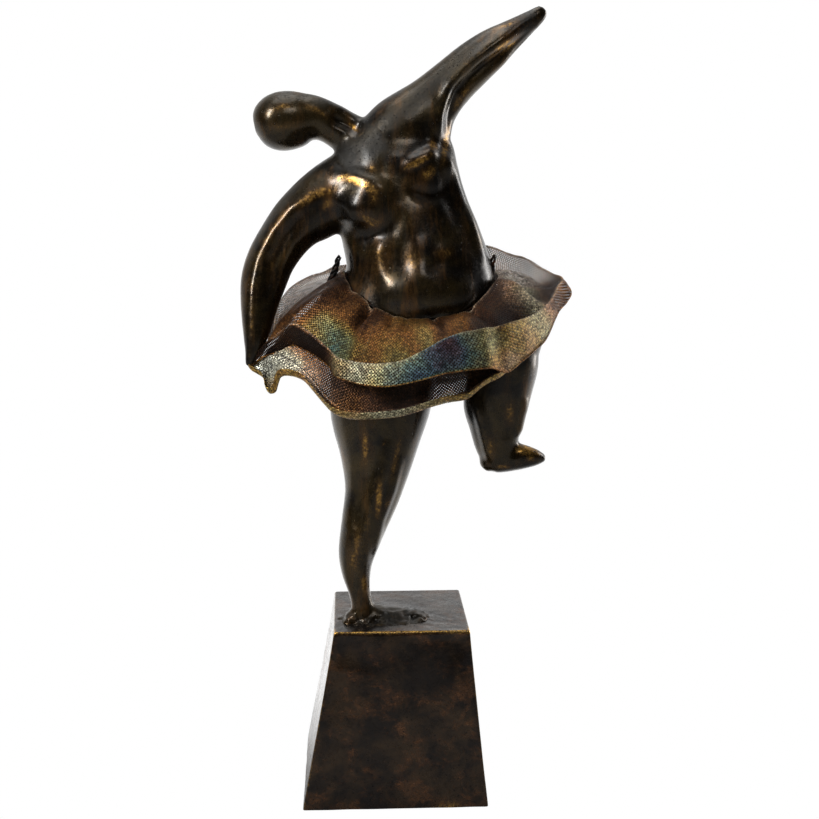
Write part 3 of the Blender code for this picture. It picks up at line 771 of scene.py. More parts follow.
def grownRing(bm, ring, edges, places):
    # extrudes a closed ring of edges and sets the new points in their places
    made = bmesh.ops.extrude_edge_only(bm, edges=edges)["geom"]
    fresh = {tuple(v.co): v for v in made if isinstance(v, bmesh.types.BMVert)}
    following = [fresh[tuple(v.co)] for v in ring]
    for v, place in zip(following, places):
        v.co = place
    return following, [e for e in made if isinstance(e, bmesh.types.BMEdge) and len(e.link_faces) == 1]


def makeBase():
    b = baseBlock
    bm = bmesh.new()
    top, roof = b["height"], b["height"] - b["roof"]
    rebateHalf, rebateUp = b["rebate"][0], b["rebate"][1] - b["lift"]
    rings = [(0.4, roof, 0.3), (10, roof, 3), (baseHalf(roof) - b["wall"] - 1, roof, 3)]
    rings += [(baseHalf(h) - b["wall"], h, 3) for h in np.linspace(roof - 1, rebateUp + 0.4, 8)]
    rings += [(rebateHalf - 0.1, rebateUp, 1), (rebateHalf, 0.1, 1), (rebateHalf + 0.2, 0, 1)]
    c = b["corner"]
    rings += [(baseHalf(0) - c * 0.5, 0, c), (baseHalf(0) - c * 0.12, c * 0.25, c)]
    rings += [(baseHalf(h), h, c) for h in np.linspace(c * 0.8, top - c, 58)]
    for bend in (22, 45, 68, 90):
        a = math.radians(bend)
        rings.append((baseHalf(top) - c * (1 - math.cos(a)), top - c + c * math.sin(a), c))
    rings += [(h, top, max(0.9, h * 0.03)) for h in np.linspace(baseHalf(top) - c - 0.8, 1.2, 22)]
    ring = bmesh.ops.create_circle(bm, cap_ends=False, segments=b["segments"], radius=1)["verts"]
    edges = list(bm.edges)
    circle = [v.co.copy() for v in ring]
    for v, spot in zip(ring, circle):
        v.co = squarePlace(spot, *rings[0])
    for station in rings[1:]:
        ring, edges = grownRing(bm, ring, edges, [squarePlace(spot, *station) for spot in circle])
    bmesh.ops.holes_fill(bm, edges=[e for e in bm.edges if e.is_boundary], sides=0)
    bmesh.ops.recalc_face_normals(bm, faces=bm.faces)
    obj = objectFrom(bm, "flaredBase")
    mesh = obj.data
    points = meshPoints(mesh)
    normals = meshNormals(mesh)
    height = points[:, 2] / mm - b["lift"]
    shift = b["topShift"] * np.clip(height, 0, top) / top
    halves = np.array([baseHalf(h) for h in np.clip(height, 0, top)])
    sideX = halves - np.abs(points[:, 0] / mm - shift)
    sideY = halves - np.abs(points[:, 1] / mm)
    above = top - height
    near = np.sort(np.stack([sideX, sideY, above], 1), 1)
    outer = near[:, 0] < 1.6
    storeFloat(mesh, "proud", np.where(outer, np.clip(1 - near[:, 1] / 1.5, 0, 1), 0))
    # hand-dressed faces are never quite flat
    stray = roughness(points, ((26, 1), (70, 0.5)))
    dent = np.array([max(noise.noise(Vector(p) * 42 + Vector((7, 3, 1))) - 0.25, 0) for p in points])
    ease = np.clip(near[:, 1] / 4, 0.12, 1) * outer
    points += normals * ((stray * b["wobble"] - dent * 1.0) * ease * mm)[:, None]
    # the ground rises a little round the foot
    onTop = (above < 0.3) & outer
    foot = np.hypot((points[:, 0] / mm + 6) / 24, (points[:, 1] / mm + 13) / 14)
    points[:, 2] += onTop * np.clip(1 - foot, 0, 1) ** 0.7 * 0.5 * mm
    rough = roughness(points, ((190, 1), (420, 0.6)), onTop)
    points[:, 2] += rough * np.clip(1.9 - foot, 0, 1) * ease * 0.45 * mm
    setPoints(mesh, points)
    # the top face is greyed
    storeFloat(mesh, "dullAndSheen", onTop * 0.4)
    flat = points / mm
    edge = np.clip(1 - near[:, 1] / 1.3, 0, 1)
    rightEnd = np.clip((flat[:, 0] - 22) / 8, 0, 1)
    gold = edge * np.clip((-flat[:, 1] - 22) / 6, 0, 1) * (above < 1.6) * (1.4 + 0.6 * rightEnd)
    # a few scrapes low on the front, at the right
    scraped = np.exp(-(((flat[:, 0] - 24) / 8) ** 2)) * np.clip(1 - height / 5, 0, 1) * (flat[:, 1] < -20)
    gold = np.maximum(gold, 0.75 * scraped)
    storeFloat(mesh, "gold", gold)
    for f in mesh.polygons:
        f.use_smooth = True
    for x, y, dia, low, high in b["bores"]:
        bore = bmesh.new()
        place = Matrix.Translation(Vector((x, y, (low + high) / 2)) * mm)
        size = {"radius1": dia / 2 * mm, "radius2": dia / 2 * mm, "depth": (high - low) * mm}
        bmesh.ops.create_cone(bore, cap_ends=True, segments=32, matrix=place, **size)
        drill = objectFrom(bore, "drill")
        cut = obj.modifiers.new("bore", "BOOLEAN")
        cut.object = drill
        cut.solver = "EXACT"
        drilled = applied(obj)
        bpy.data.objects.remove(drill)
        obj = placed("flaredBase", drilled)
    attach(obj, "root")
    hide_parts("base_casting")
    return obj


base = makeBase()
print("base:", len(base.data.polygons), "faces")

# ---- the two flounces of woven wire ----
# Each station, counter-clockwise from the raised knee: height of the waist edge, arch of the
# cloth between waist and crest, crest, hem. The hem is folded over by the lip that follows.
flounces = {
    "axis": (10.0, 0.0),
    "thread": 1.04,  # spacing of the woven wires
    "steps": 7,  # columns between two stations
    "wall": 0.22,
    "upper": [
        (240, -6, (78, -1, 238.5), (81.5, -3, 232.5)),
        (241, -8, (74, 9, 240.5), (76, 12, 239)),
        (242, -8, (66, 20, 245), (67.5, 22, 244)),
        (243, -7, (57, 31, 248.5), (58, 33, 247.5)),
        (244, -6, (44, 42, 252), (45, 44, 250.5)),
        (246, -5, (28, 50, 251), (28.5, 52.5, 248.5)),
        (247, -4, (10, 54, 249), (10, 57, 245.5)),
        (247, -3, (-8, 53, 246), (-9, 56, 242)),
        (246, -3, (-24, 48, 241.5), (-25.5, 50.5, 238.5)),
        (245, -3, (-37, 39, 237.5), (-39, 41, 235.5)),
        (243, -3, (-47, 27, 232.5), (-49, 28.5, 230)),
        (242, -3, (-52, 14, 225), (-54, 14.5, 221.5)),
        (242, -1, (-54, 2, 218), (-56, 1, 214)),
        (243, 0, (-55.5, -6, 212.5), (-57, -8, 208)),
        (243, 1, (-61, -16.5, 204.5), (-63.2, -17.3, 200.8)),
        (241.5, 4.5, (-56, -20, 212.2), (-57, -19.5, 205)),
        (239.5, 4.5, (-50.5, -24.5, 216.8), (-50, -22.5, 208)),
        (238, 3.5, (-45.5, -28.5, 221), (-44.5, -25.5, 211)),
        (236, 2.5, (-40.5, -32.5, 220.3), (-39, -29, 209.5)),
        (234, 1.5, (-35, -37, 217.2), (-33, -33.5, 206.5)),
        (231.5, 1.5, (-29, -41, 212.4), (-27.5, -39, 202.5)),
        (229.5, 1.5, (-24, -44.5, 208), (-25, -45.5, 199.8)),
        (227.5, 1.5, (-18.5, -47, 207.2), (-19, -49, 198.2)),
        (225.5, 1.5, (-11, -50.5, 206.6), (-12.5, -53, 197.2)),
        (224.2, 1.5, (-3, -53.5, 206.8), (-4, -56, 197.1)),
        (223.6, 1.5, (5, -54.5, 209.2), (5, -57.3, 198.7)),
        (223.4, 1.5, (12, -54.5, 212.8), (14, -57.3, 200.9)),
        (223.6, 1.2, (19.3, -52.5, 216.2), (21, -55.7, 202.5)),
        (224, 1, (26.5, -50, 219), (31, -52.3, 203.4)),
        (224.6, 0.5, (34.5, -46.5, 220), (41.5, -47.5, 203.3)),
        (226, 0, (42.5, -42, 220.8), (48.5, -42, 200.8)),
        (229, -1, (50.5, -36, 222), (56, -35, 204.9)),
        (233, -1, (58.5, -29, 223.6), (62, -29, 208.5)),
        (237, 1, (66, -20.5, 226.3), (67.5, -22.5, 212.5)),
        (239, -4, (72, -12, 231), (74.3, -13, 223.5)),
        (240, -5, (76, -6, 236), (79.5, -7, 228)),
    ],
    "lower": [
        (237.5, -2, (70, -2, 228), (73, -3, 223.5)),
        (238, -3, (65, 14, 234.5), (67, 16, 232)),
        (239, -3, (56, 28, 238), (58, 30, 236.5)),
        (240, -3, (42, 40, 238), (43.5, 42, 235.5)),
        (242, -2, (24, 47, 236), (24.5, 49.5, 232)),
        (243, -2, (4, 49, 232), (4, 51.5, 227.5)),
        (243, -2, (-15, 46, 228), (-16, 48.5, 223.5)),
        (241.5, -1, (-31, 38, 223), (-32.5, 40, 218.5)),
        (239.5, -1, (-43, 26, 216.5), (-45, 27, 212)),
        (238, -1, (-50, 11, 209), (-52, 11, 204.5)),
        (237, 0, (-54, -3, 203.5), (-56.5, -4, 199)),
        (236.5, 0, (-60.5, -15.5, 202.5), (-63.5, -17, 199.6)),
        (236, 1, (-57, -19.5, 205), (-57.5, -20.5, 195.5)),
        (235.3, 1, (-54.2, -21.8, 206.5), (-55.4, -22.8, 189.8)),
        (234.8, 1, (-51.8, -23.5, 206.5), (-52, -25, 190)),
        (234, 1, (-49, -25.5, 206.3), (-49.2, -27.5, 196.8)),
        (232.5, 1, (-43.5, -29.5, 203.8), (-44, -31, 198)),
        (231, 1, (-38.5, -33.5, 200.5), (-39.5, -35, 196.7)),
        (229.5, 1, (-34.5, -36.5, 196.5), (-34.8, -38.5, 192.6)),
        (228, 1, (-28.5, -39.5, 190), (-30.5, -41.5, 187.6)),
        (226, 1, (-24, -42.5, 187), (-27, -44, 184.4)),
        (224.5, 1, (-19, -45, 186), (-22.5, -46.5, 182.6)),
        (223, 1, (-12, -47.5, 185.5), (-16.5, -49, 181.9)),
        (221.5, 1, (-4, -49, 186), (-8.5, -51, 182.4)),
        (221, 1, (4, -49.5, 187.3), (0, -52, 183.4)),
        (221, 1, (11.5, -49, 189), (8, -52, 185.3)),
        (221.2, 1, (18, -48, 191), (14.5, -51, 187.3)),
        (221.6, 1, (24.5, -46, 192), (22, -49, 189)),
        (222.4, 1, (30.5, -43.5, 193), (31, -45, 189.9)),
        (224, 0.5, (38, -39.5, 197), (38.5, -41, 195)),
        (227, 0, (46, -34.5, 201), (47, -35.5, 198.5)),
        (231, 0, (54, -27, 206), (55, -27.5, 203)),
        (234.5, -1, (62, -17, 214), (64, -18, 210.5)),
        (236.5, -1, (67, -9.5, 221.5), (69.5, -10, 217.5)),
    ],
    # how far the cloth dips behind the crest: turn about the axis, depth, spread in degrees
    "dips": [(-32, 6.5, 20), (-100, 4.2, 36), (-158, -3.8, 13)],
    # folds standing up between waist and crest: turn about the axis, height, width in degrees
    "folds": {
        "upper": [(-17, 3.6, 5), (-96, 1.3, 2), (-78, 1.1, 2), (-124, 1.5, 2.4), (-61, 0.8, 2.4)],
        "lower": [(-110, 0.8, 4)],
    },
    # how far the folded lip stands out from the hem and up
    "upperLip": (0.5, 0.6),
    "lowerLip": (2.0, 3.5),
    # pleats pressed in at the waist: turn about the axis, depth, width in degrees
    "pleats": [
        (-127, 4.5, 3), (-77, 3.2, 2.6), (-47, 4.0, 3), (-98, 1.4, 2.5), (-109, 1.2, 2.5),
        (-145, 2.0, 4), (60, 1.5, 7), (100, 1.4, 7), (140, 1.6, 7), (20, 1.5, 6),
    ],
    "hand": (-64.8, -18, 201),  # where the corner is held
}


def alongLoop(stations, steps):
    # a smooth closed run through the stations, steps columns from one to the next
    pts = [np.array(s, float) for s in stations]
    n = len(pts)
    fine = []
    for i in range(n):
        fine += curvePiece([pts[(i + j) % n] for j in (-1, 0, 1, 2)], steps)
    return np.array(fine)


def swell(turn, bumps):
    # what the bumps (turn, height, width in degrees) add up to at this turn
    away = [((turn - at + 180) % 360 - 180) / width for at, _, width in bumps]
    return sum(high * math.exp(-(a**2)) for a, (_, high, _) in zip(away, bumps))


def waistPlace(turn, height, clear):
    # just off the bronze at this height
    out = Vector((math.cos(turn), math.sin(turn), 0))
    start = Vector((*flounces["axis"], height)) * mm
    hit = bodyTree.ray_cast(start, out)[0]
    return np.array(hit / mm + out * clear)


# rows from waist to lip: the spline below puts four between each pair of its points
foldRows = 16  # a fold dies out this many rows below the waist
crestRow = 20
lipRows = 5  # the last rows, folded over


def flounceRows(layer, clear, lip):
    fine = alongLoop([(s[0], s[1], *s[2], *s[3]) for s in flounces[layer]], flounces["steps"])
    axis = np.array((*flounces["axis"], 0))
    columns = []
    for row in fine:
        waistUp, arch, crest, hem = row[0], row[1], row[2:5], row[5:8]
        turn = math.atan2(crest[1] - axis[1], crest[0] - axis[0])
        outward = np.array((math.cos(turn), math.sin(turn), 0))
        pleat = swell(math.degrees(turn), flounces["pleats"])
        dip = 0.6 + swell(math.degrees(turn), flounces["dips"])
        fold = swell(math.degrees(turn), flounces["folds"][layer])
        waist = waistPlace(turn, waistUp - pleat * 0.4, clear + pleat * 0.15)
        near = waist * 0.84 + crest * 0.16 + (0, 0, arch * 0.5 + 0.4 - pleat * 0.8) - outward * pleat * 0.3
        mid = waist * 0.5 + crest * 0.5 + (0, 0, arch + 0.8 - pleat * 0.5)
        far = waist * 0.16 + crest * 0.84 + (0, 0, arch * 0.5 - dip)
        behind = crest - outward * 1.1 - (0, 0, 0.5 + dip * 0.42)
        before = crest + outward * 0.7 - (0, 0, 1.0)
        belly = crest * 0.5 + hem * 0.5 + outward * 0.6
        top = hem + outward * lip[0] * 0.55 + (0, 0, lip[1] * 0.25)
        edge = hem + outward * lip[0] + (0, 0, lip[1])
        column = splineThrough([waist, near, mid, far, behind, crest, before, belly, hem], 4)
        for j in range(1, foldRows):
            column[j] = column[j] + (0, 0, fold * math.sin(math.pi * j / foldRows) ** 0.6)
        columns.append(column + [top, (top + edge) / 2, edge])
    return np.array(columns).transpose(1, 0, 2)


def ripple(rows, layer):
    # small waves left by the bending: they grow towards the hem, and fan out from the held corner
    hand = np.array(flounces["hand"])
    phase, level = (1, 1) if layer == "upper" else (3, 9)
    for j in range(1, rows.shape[0]):
        share = j / (rows.shape[0] - 1)
        for i in range(rows.shape[1]):
            p = rows[j, i]
            turn = math.atan2(p[1], p[0] - flounces["axis"][0])
            wave = 0.55 * math.sin(turn * 17 + phase) + 0.35 * math.sin(turn * 31 + 2 * share)
            wave *= 0.9 * min(1, 2 * share)
            away = np.linalg.norm(p - hand)
            if away < 26:
                fan = math.atan2(p[2] - hand[2], math.hypot(p[0] - hand[0], p[1] - hand[1]))
                wave += 0.7 * math.sin(fan * 24) * min(1, away / 6) * (1 - away / 26)
            sway = noise.noise(Vector(p) * 0.09 + Vector((3, 5, level)))
            out = np.array((math.cos(turn) * 0.6, math.sin(turn) * 0.6, 0.8 * (1 - share) + 0.15))
            rows[j, i] = p + out * (wave * 0.8 + sway * 1.3) * min(1, share * 2.5)
    return rows


def flounce(name, layer, clear, lip, cadNode):
    rows = ripple(flounceRows(layer, clear, lip), layer)
    high, count = rows.shape[0], rows.shape[1]
    bm = bmesh.new()
    ring = bmesh.ops.create_circle(bm, cap_ends=False, segments=count, radius=1)["verts"]
    place = {}
    for i, v in enumerate(ring):
        v.co = Vector(rows[0, i]) * mm
        place[v] = (i, 0)
    edges = list(bm.edges)
    for j in range(1, high):
        ring, edges = grownRing(bm, ring, edges, [Vector(p) * mm for p in rows[j]])
        place.update({v: (i, j) for i, v in enumerate(ring)})
    around = np.linalg.norm(np.roll(rows, -1, 1) - rows, axis=2)
    u = np.concatenate([[0], np.cumsum(around[crestRow])]) / flounces["thread"]
    down = np.linalg.norm(np.diff(rows, axis=0), axis=2)
    v = np.concatenate([np.zeros((1, count)), np.cumsum(down, 0)]) / flounces["thread"]
    cloth = bm.loops.layers.uv.new("cloth")
    for f in bm.faces:
        f.smooth = True
        wraps = {place[l.vert][0] for l in f.loops} >= {0, count - 1}
        for l in f.loops:
            i, j = place[l.vert]
            l[cloth].uv = (u[count] if wraps and i == 0 else u[i], v[j, i])
    bmesh.ops.recalc_face_normals(bm, faces=bm.faces)
    if sum(f.normal.z for f in bm.faces) < 0:
        bmesh.ops.reverse_faces(bm, faces=bm.faces)
    bm.verts.index_update()
    order = sorted(place.items(), key=lambda item: item[0].index)
    rowOf = np.array([p[1] for _, p in order])
    obj = objectFrom(bm, name)
    fine = obj.modifiers.new("fine", "SUBSURF")
    fine.levels = fine.render_levels = 1
    wall = obj.modifiers.new("wall", "SOLIDIFY")
    wall.thickness = flounces["wall"] * mm
    wall.offset = 0
    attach(obj, "root")
    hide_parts(cadNode)
    return obj, rowOf, high


upper, upperRow, upperHigh = flounce("upperFlounce", "upper", 1.8, flounces["upperLip"], "tutu_upper")
lower, lowerRow, lowerHigh = flounce("lowerFlounce", "lower", 1.4, flounces["lowerLip"], "tutu_lower")

# heat colours of the copper: x, z, reach, film (0 dark brown to 1 rose), silver share
heat = {
    "upperTop": [
        (-24, 236, 6, 0.08, 0), (-20, 228, 6, 0.24, 0), (-12, 223, 5, 0.10, 0), (-32, 220, 5, 0.58, 0.1),
        (-45, 224, 4, 0.20, 0), (-24, 215, 5, 0.60, 0), (-39, 229, 5, 0.12, 0), (-36, 218, 4, 0.30, 0),
        (-8, 216, 5, 0.30, 0), (2, 220, 4, 0.31, 0), (10, 221, 4, 0.34, 0), (-2, 211, 4, 0.46, 0),
        (-13, 211, 4, 0.36, 0), (20, 222, 4, 0.14, 0), (13, 218, 3, 0.44, 0.05), (28, 224, 5, 0.30, 0),
        (38, 228, 6, 0.05, 0), (50, 230, 6, 0.04, 0), (55, 232, 4, 0.52, 0.6), (63, 228, 4, 0.5, 0.5),
        (75, 234, 5, 0.12, 0),
    ],
    "upperBand": [
        (-24, 204, 3, 0.40, 0.2), (-17, 202, 4, 0.52, 0.5), (-9, 203, 3, 0.50, 0.3), (-9, 199, 3, 0.46, 0.1),
        (-3, 199, 3, 0.60, 0.3), (0, 205, 3, 0.58, 0.3), (5, 201, 4, 0.70, 0.1), (10, 208, 3, 0.64, 0.2),
        (11, 202, 4, 0.74, 0), (17, 210, 4, 0.84, 0.1), (21, 214, 3, 0.96, 0), (24, 205, 3, 0.70, 0.2),
        (26, 211, 4, 0.88, 0.1), (31, 216, 3, 0.56, 0.3), (33, 209, 3, 0.62, 0.1), (36, 205, 3, 0.58, 0.3),
        (40, 214, 4, 0.50, 0.1), (44, 207, 4, 0.36, 0), (50, 205, 3, 0.34, 0.3), (54, 215, 4, 0.44, 0),
        (60, 214, 4, 0.36, 0.1), (66, 220, 4, 0.50, 0.3), (75, 232, 5, 0.14, 0), (72, 222, 3, 0.24, 0.2),
        (-45, 216, 4, 0.22, 0), (-38, 213, 4, 0.10, 0), (-54, 209, 4, 0.12, 0),
    ],
    "lower": [
        (-58, 202, 4, 0.58, 0.8), (-51, 202, 4, 0.5, 0.75), (-54, 192, 3, 0.36, 0.3), (-45, 201, 3, 0.45, 0.6),
        (-38, 197, 3, 0.24, 0.3), (-32, 190, 4, 0.16, 0.1), (-22, 186, 5, 0.24, 0), (-26, 194, 5, 0.12, 0),
        (-10, 190, 6, 0.12, 0), (4, 190, 6, 0.08, 0), (18, 194, 5, 0.14, 0), (22.5, 188.5, 2.6, 0.95, 0.6),
        (34, 196, 5, 0.14, 0), (46, 202, 5, 0.18, 0), (60, 212, 6, 0.2, 0), (60, 236, 8, 0.06, 0),
        (0, 215, 16, 0.1, 0),
    ],
}


def markHeat(obj, layer, rowOf, high, lipFilm):
    points = meshPoints(obj.data) / mm
    flat = points[:, [0, 2]]
    back = np.clip(points[:, 1] / 12, 0, 1)
    weight = np.full(len(flat), 0.02)
    film, silver = weight * 0.22, weight * 0
    band = np.clip((rowOf - (crestRow - 2)) / 3, 0, 1)
    parts = {"upper": ((heat["upperTop"], 1 - band), (heat["upperBand"], band)), "lower": ((heat["lower"], 1),)}
    for spots, share in parts[layer]:
        for x, z, reach, shade, pale in spots:
            feel = share * np.exp(-((flat[:, 0] - x) ** 2 + (flat[:, 1] - z) ** 2) / (2 * (reach * 0.8) ** 2))
            weight, film, silver = weight + feel, film + feel * shade, silver + feel * pale
    film, silver = film / weight, silver / weight
    lip = np.clip((rowOf - (high - lipRows)) / 2, 0, 1)
    film = film * (1 - lip) + lipFilm * lip
    film = film * (1 - back) + back * 0.17
    silver = silver * (1 - lip) + 0.35 * back
    if layer == "lower":
        middle = lip * np.exp(-(((flat[:, 0] + 1) / 17) ** 2))
        film, silver = film + 0.12 * middle, silver + 0.45 * middle
    # painted highlight along the crest; the waist edge is made pale too
    crest = np.clip(1 - np.abs(rowOf - crestRow) / 4.0, 0, 1) * (1 - back)
    waist = np.clip(1.2 - rowOf, 0, 1)
    pale = np.maximum(crest * (0.75 if layer == "upper" else 0.35), waist)
    storeFloat(obj.data, "film", film * (1 - pale) + 0.40 * pale)
    storeFloat(obj.data, "silver", np.clip(silver + 0.5 * pale, 0, 1))
    # painted shade: the valley behind the crest is darkened, and so is what the upper flounce covers
    front = 1 - back
    right = np.clip((flat[:, 0] - 32) / 12, 0, 1)
    left = np.clip((-24 - flat[:, 0]) / 5, 0, 1)
    valley = np.clip(1.3 - np.abs(rowOf - 12.5) / 5.5, 0, 1) * front * (1 - left)
    # the tall fold at the right stands clear of it
    tallFold = flounces["folds"]["upper"][0][0]
    turn = np.degrees(np.arctan2(points[:, 1], flat[:, 0] - flounces["axis"][0]))
    ridge = np.exp(-(((turn - tallFold) / 4) ** 2)) if layer == "upper" else 0
    paintedShade = np.clip(np.maximum(valley * (0.5 + 0.45 * right), 0.16 * (1 - band) * front) - 1.2 * ridge, 0, 1)
    if layer == "upper":
        # painted shade on the underside of the band at the left
        under = np.clip((rowOf - 22) / 3, 0, 1) * left * front * (1 - lip)
        paintedShade = np.maximum(paintedShade, under * 0.9)
    else:
        # painted shade on the wall of the lower flounce, under the upper one
        wall = np.clip((rowOf - 4) / 5, 0, 1) * np.clip((27 - rowOf) / 6, 0, 1) * front * (1 - left)
        paintedShade = np.maximum(paintedShade, wall * 0.55)
    storeFloat(obj.data, "paintedShade", paintedShade)
    dense = (0.5 if layer == "upper" else 0.85) * front
    if layer == "lower":
        dense = np.maximum(dense, 1.0 * left * front)
        clear = np.exp(-(((flat[:, 0] - 22) / 5) ** 2 + ((flat[:, 1] - 187) / 3) ** 2) ** 2)
        dense = dense * (1 - clear) - 0.35 * clear
    storeFloat(obj.data, "dense", dense)


markHeat(upper, "upper", upperRow, upperHigh, 0.30)
markHeat(lower, "lower", lowerRow, lowerHigh, 0.38)

# ---- the wire that gathers the flounces in, with its twisted ends ----
waistWire = {
    "wire": 0.8,
    "clear": 0.7,
    # twisted ends: foot, tip, how many strands
    "ends": [((-28, -5, 236), (-23.5, -6, 249.5), 7), ((44, -6, 236), (46.5, -4, 249.5), 6)],
}


def addTube(bm, path, radius, closed=False, sides=8):
    before, first = None, None
    count = len(path)
    for i, spot in enumerate(path):
        ahead = path[(i + 1) % count] if closed else path[min(i + 1, count - 1)]
        behind = path[i - 1] if closed else path[max(i - 1, 0)]
        along = Vector(ahead - behind).normalized()
        turn = along.to_track_quat("Z", "Y").to_matrix().to_4x4()
        place = Matrix.Scale(mm, 4) @ Matrix.Translation(Vector(spot)) @ turn @ Matrix.Scale(radius, 4)
        ends = not closed and i in (0, count - 1)
        ring = bmesh.ops.create_circle(bm, cap_ends=ends, segments=sides, radius=1, matrix=place)["verts"]
        rim = list({e for v in ring for e in v.link_edges})
        if before:
            bmesh.ops.bridge_loops(bm, edges=before + rim)
        first = first or rim
        before = rim
    if closed:
        bmesh.ops.bridge_loops(bm, edges=before + first)


def makeWaistWire():
    stations = alongLoop([(s[0], *s[2]) for s in flounces["upper"]], 5)
    path = []
    for height, x, y, _ in stations:
        turn = math.atan2(y, x - flounces["axis"][0])
        path.append(waistPlace(turn, height - 1.3, waistWire["clear"]))
    bm = bmesh.new()
    addTube(bm, path, waistWire["wire"] / 2, closed=True)
    for foot, tip, strands in waistWire["ends"]:
        foot, tip = np.array(foot, float), np.array(tip, float)
        for k in range(strands):
            twist = []
            for t in np.linspace(0, 1, 14):
                a = t * 9 + k * 2 * math.pi / strands
                r = 1.7 * (1 - 0.6 * t) + 0.2 * math.sin(7 * t + k)
                reach = 0.75 + 0.25 * ((k * 37) % 5) / 4  # no two strands are as long
                twist.append(foot + (tip - foot) * t * reach + (r * math.cos(a), r * math.sin(a), 0))
            addTube(bm, splineThrough(twist, 2), 0.55, sides=6)
    bmesh.ops.recalc_face_normals(bm, faces=bm.faces)
    for f in bm.faces:
        f.smooth = True
    obj = objectFrom(bm, "gatherWire")
    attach(obj, "root")
    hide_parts("waist_wire")
    return obj


wire = makeWaistWire()
print("flounces and wire made")


# ---- finishes ----
def painted(tree, name):
    # what was stored on the mesh under this name
    return node(tree, "Attribute", attribute_name=name).outputs["Fac"]


def makeCastSkin():
    # the skin of a sand casting: fine grain, and a few open pits
    tree, given, out = newGroup(
        "castSkin",
        [
            ("Vector", "Vector", None),
            ("Grain Size", "Float", 900.0),
            ("Pit Size", "Float", 560.0),
            ("Pit Share", "Float", 0.3),
        ],
        ["Height", "Pits"],
    )
    fine = grain(tree, given["Vector"], given["Grain Size"], 3.0, roughness=0.6)
    wave = grain(tree, given["Vector"], 110.0, 2.0)
    cells = node(tree, "TexVoronoi", {"Vector": given["Vector"], "Scale": given["Pit Size"], "Randomness": 1.0})
    hole = between(tree, cells.outputs["Distance"], 0.10, 0.26, 1.0, 0.0)
    lot = node(tree, "SeparateColor", {0: cells.outputs["Color"]}).outputs[0]
    chosen = maths(tree, "LESS_THAN", lot, given["Pit Share"])
    pits = times(tree, hole, chosen)
    height = plus(tree, times(tree, fine, 0.32), times(tree, wave, 0.9))
    tree.links.new(maths(tree, "SUBTRACT", height, times(tree, pits, 0.8)), out["Height"])
    tree.links.new(pits, out["Pits"])
    return tree


def makePatina():
    # brushed-on patina: broad clouds, and streaks that run one way
    tree, given, out = newGroup(
        "patina",
        [
            ("Vector", "Vector", None),
            ("Cloud Size", "Float", 38.0),
            ("Streak Size", "Float", 60.0),
            ("Stretch", "Vector", (3.0, 3.0, 0.5)),
        ],
        ["Clouds", "Streaks", "Specks", "Veins", "Warmth"],
    )
    place, size = given["Vector"], given["Cloud Size"]
    clouds = grain(tree, place, size, 7.0, roughness=0.68, distortion=0.4)
    drawn = node(tree, "VectorMath", {0: place, 1: given["Stretch"]}, operation="MULTIPLY").outputs[0]
    streaks = grain(tree, drawn, given["Streak Size"], 6.0, roughness=0.7)
    specks = grain(tree, place, 620.0, 2.0)
    tree.links.new(between(tree, clouds, 0.38, 0.66), out["Clouds"])
    tree.links.new(between(tree, streaks, 0.40, 0.68), out["Streaks"])
    tree.links.new(between(tree, specks, 0.42, 0.70), out["Specks"])
    warm = grain(tree, drawn, size, 7.0, roughness=0.74, distortion=0.4)
    tree.links.new(between(tree, warm, 0.47, 0.66), out["Warmth"])
    net = grain(tree, place, 300.0, 6.0, roughness=0.72)
    ridge = maths(tree, "ABSOLUTE", maths(tree, "SUBTRACT", net, 0.5))
    tree.links.new(between(tree, ridge, 0.0, 0.13, 1.0, 0.0), out["Veins"])
    return tree


def makeRubAndHighlight():
    # where the brown has worn off, and painted highlights: rubbed strokes and proud edges, broken up by grain
    tree, given, out = newGroup(
        "rubAndHighlight",
        [
            ("Gold", "Float", 0.0),
            ("Proud", "Float", 0.0),
            ("Breakup", "Float", 0.5),
            ("Edge Share", "Float", 0.4),
        ],
        ["Wear"],
    )
    edge = times(tree, maths(tree, "MAXIMUM", given["Proud"], 0.0), given["Edge Share"])
    both = maths(tree, "MAXIMUM", given["Gold"], edge)
    lifted = plus(tree, times(tree, both, 0.30), times(tree, both, given["Breakup"]))
    tree.links.new(between(tree, lifted, 0.16, 1.2), out["Wear"])
    return tree


castSkin, patina, rubAndHighlight = makeCastSkin(), makePatina(), makeRubAndHighlight()

figureLook = {
    "deep": (0.007, 0.005, 0.003),
    "brown": (0.058, 0.039, 0.013),
    "warm": (0.17, 0.078, 0.018),
    "gold": (0.62, 0.36, 0.09),
    "dustAndSheen": (0.060, 0.058, 0.053),
    "brownShare": 0.85,
    "warmShare": 0.6,
    "edgeShare": 0.24,  # how much the proud places are rubbed
    "pitShare": 0.10,
    "cloudSize": 38.0,
    "stretch": (2.8, 2.8, 0.4),
    "streakSize": 60.0,
    "coat": 0.24,
    "rough": 0.20,
}
baseLook = {
    "deep": (0.011, 0.007, 0.005),
    "brown": (0.052, 0.031, 0.015),
    "warm": (0.15, 0.066, 0.026),
    "gold": (0.75, 0.46, 0.12),
    "dustAndSheen": (0.060, 0.058, 0.053),
    "brownShare": 0.9,
    "warmShare": 1.0,
    "edgeShare": 0.5,
    "pitShare": 0.18,
    "cloudSize": 55.0,
    "stretch": (1.2, 1.2, 1.5),
    "streakSize": 240.0,
    "coat": 0.30,
    "rough": 0.14,
}


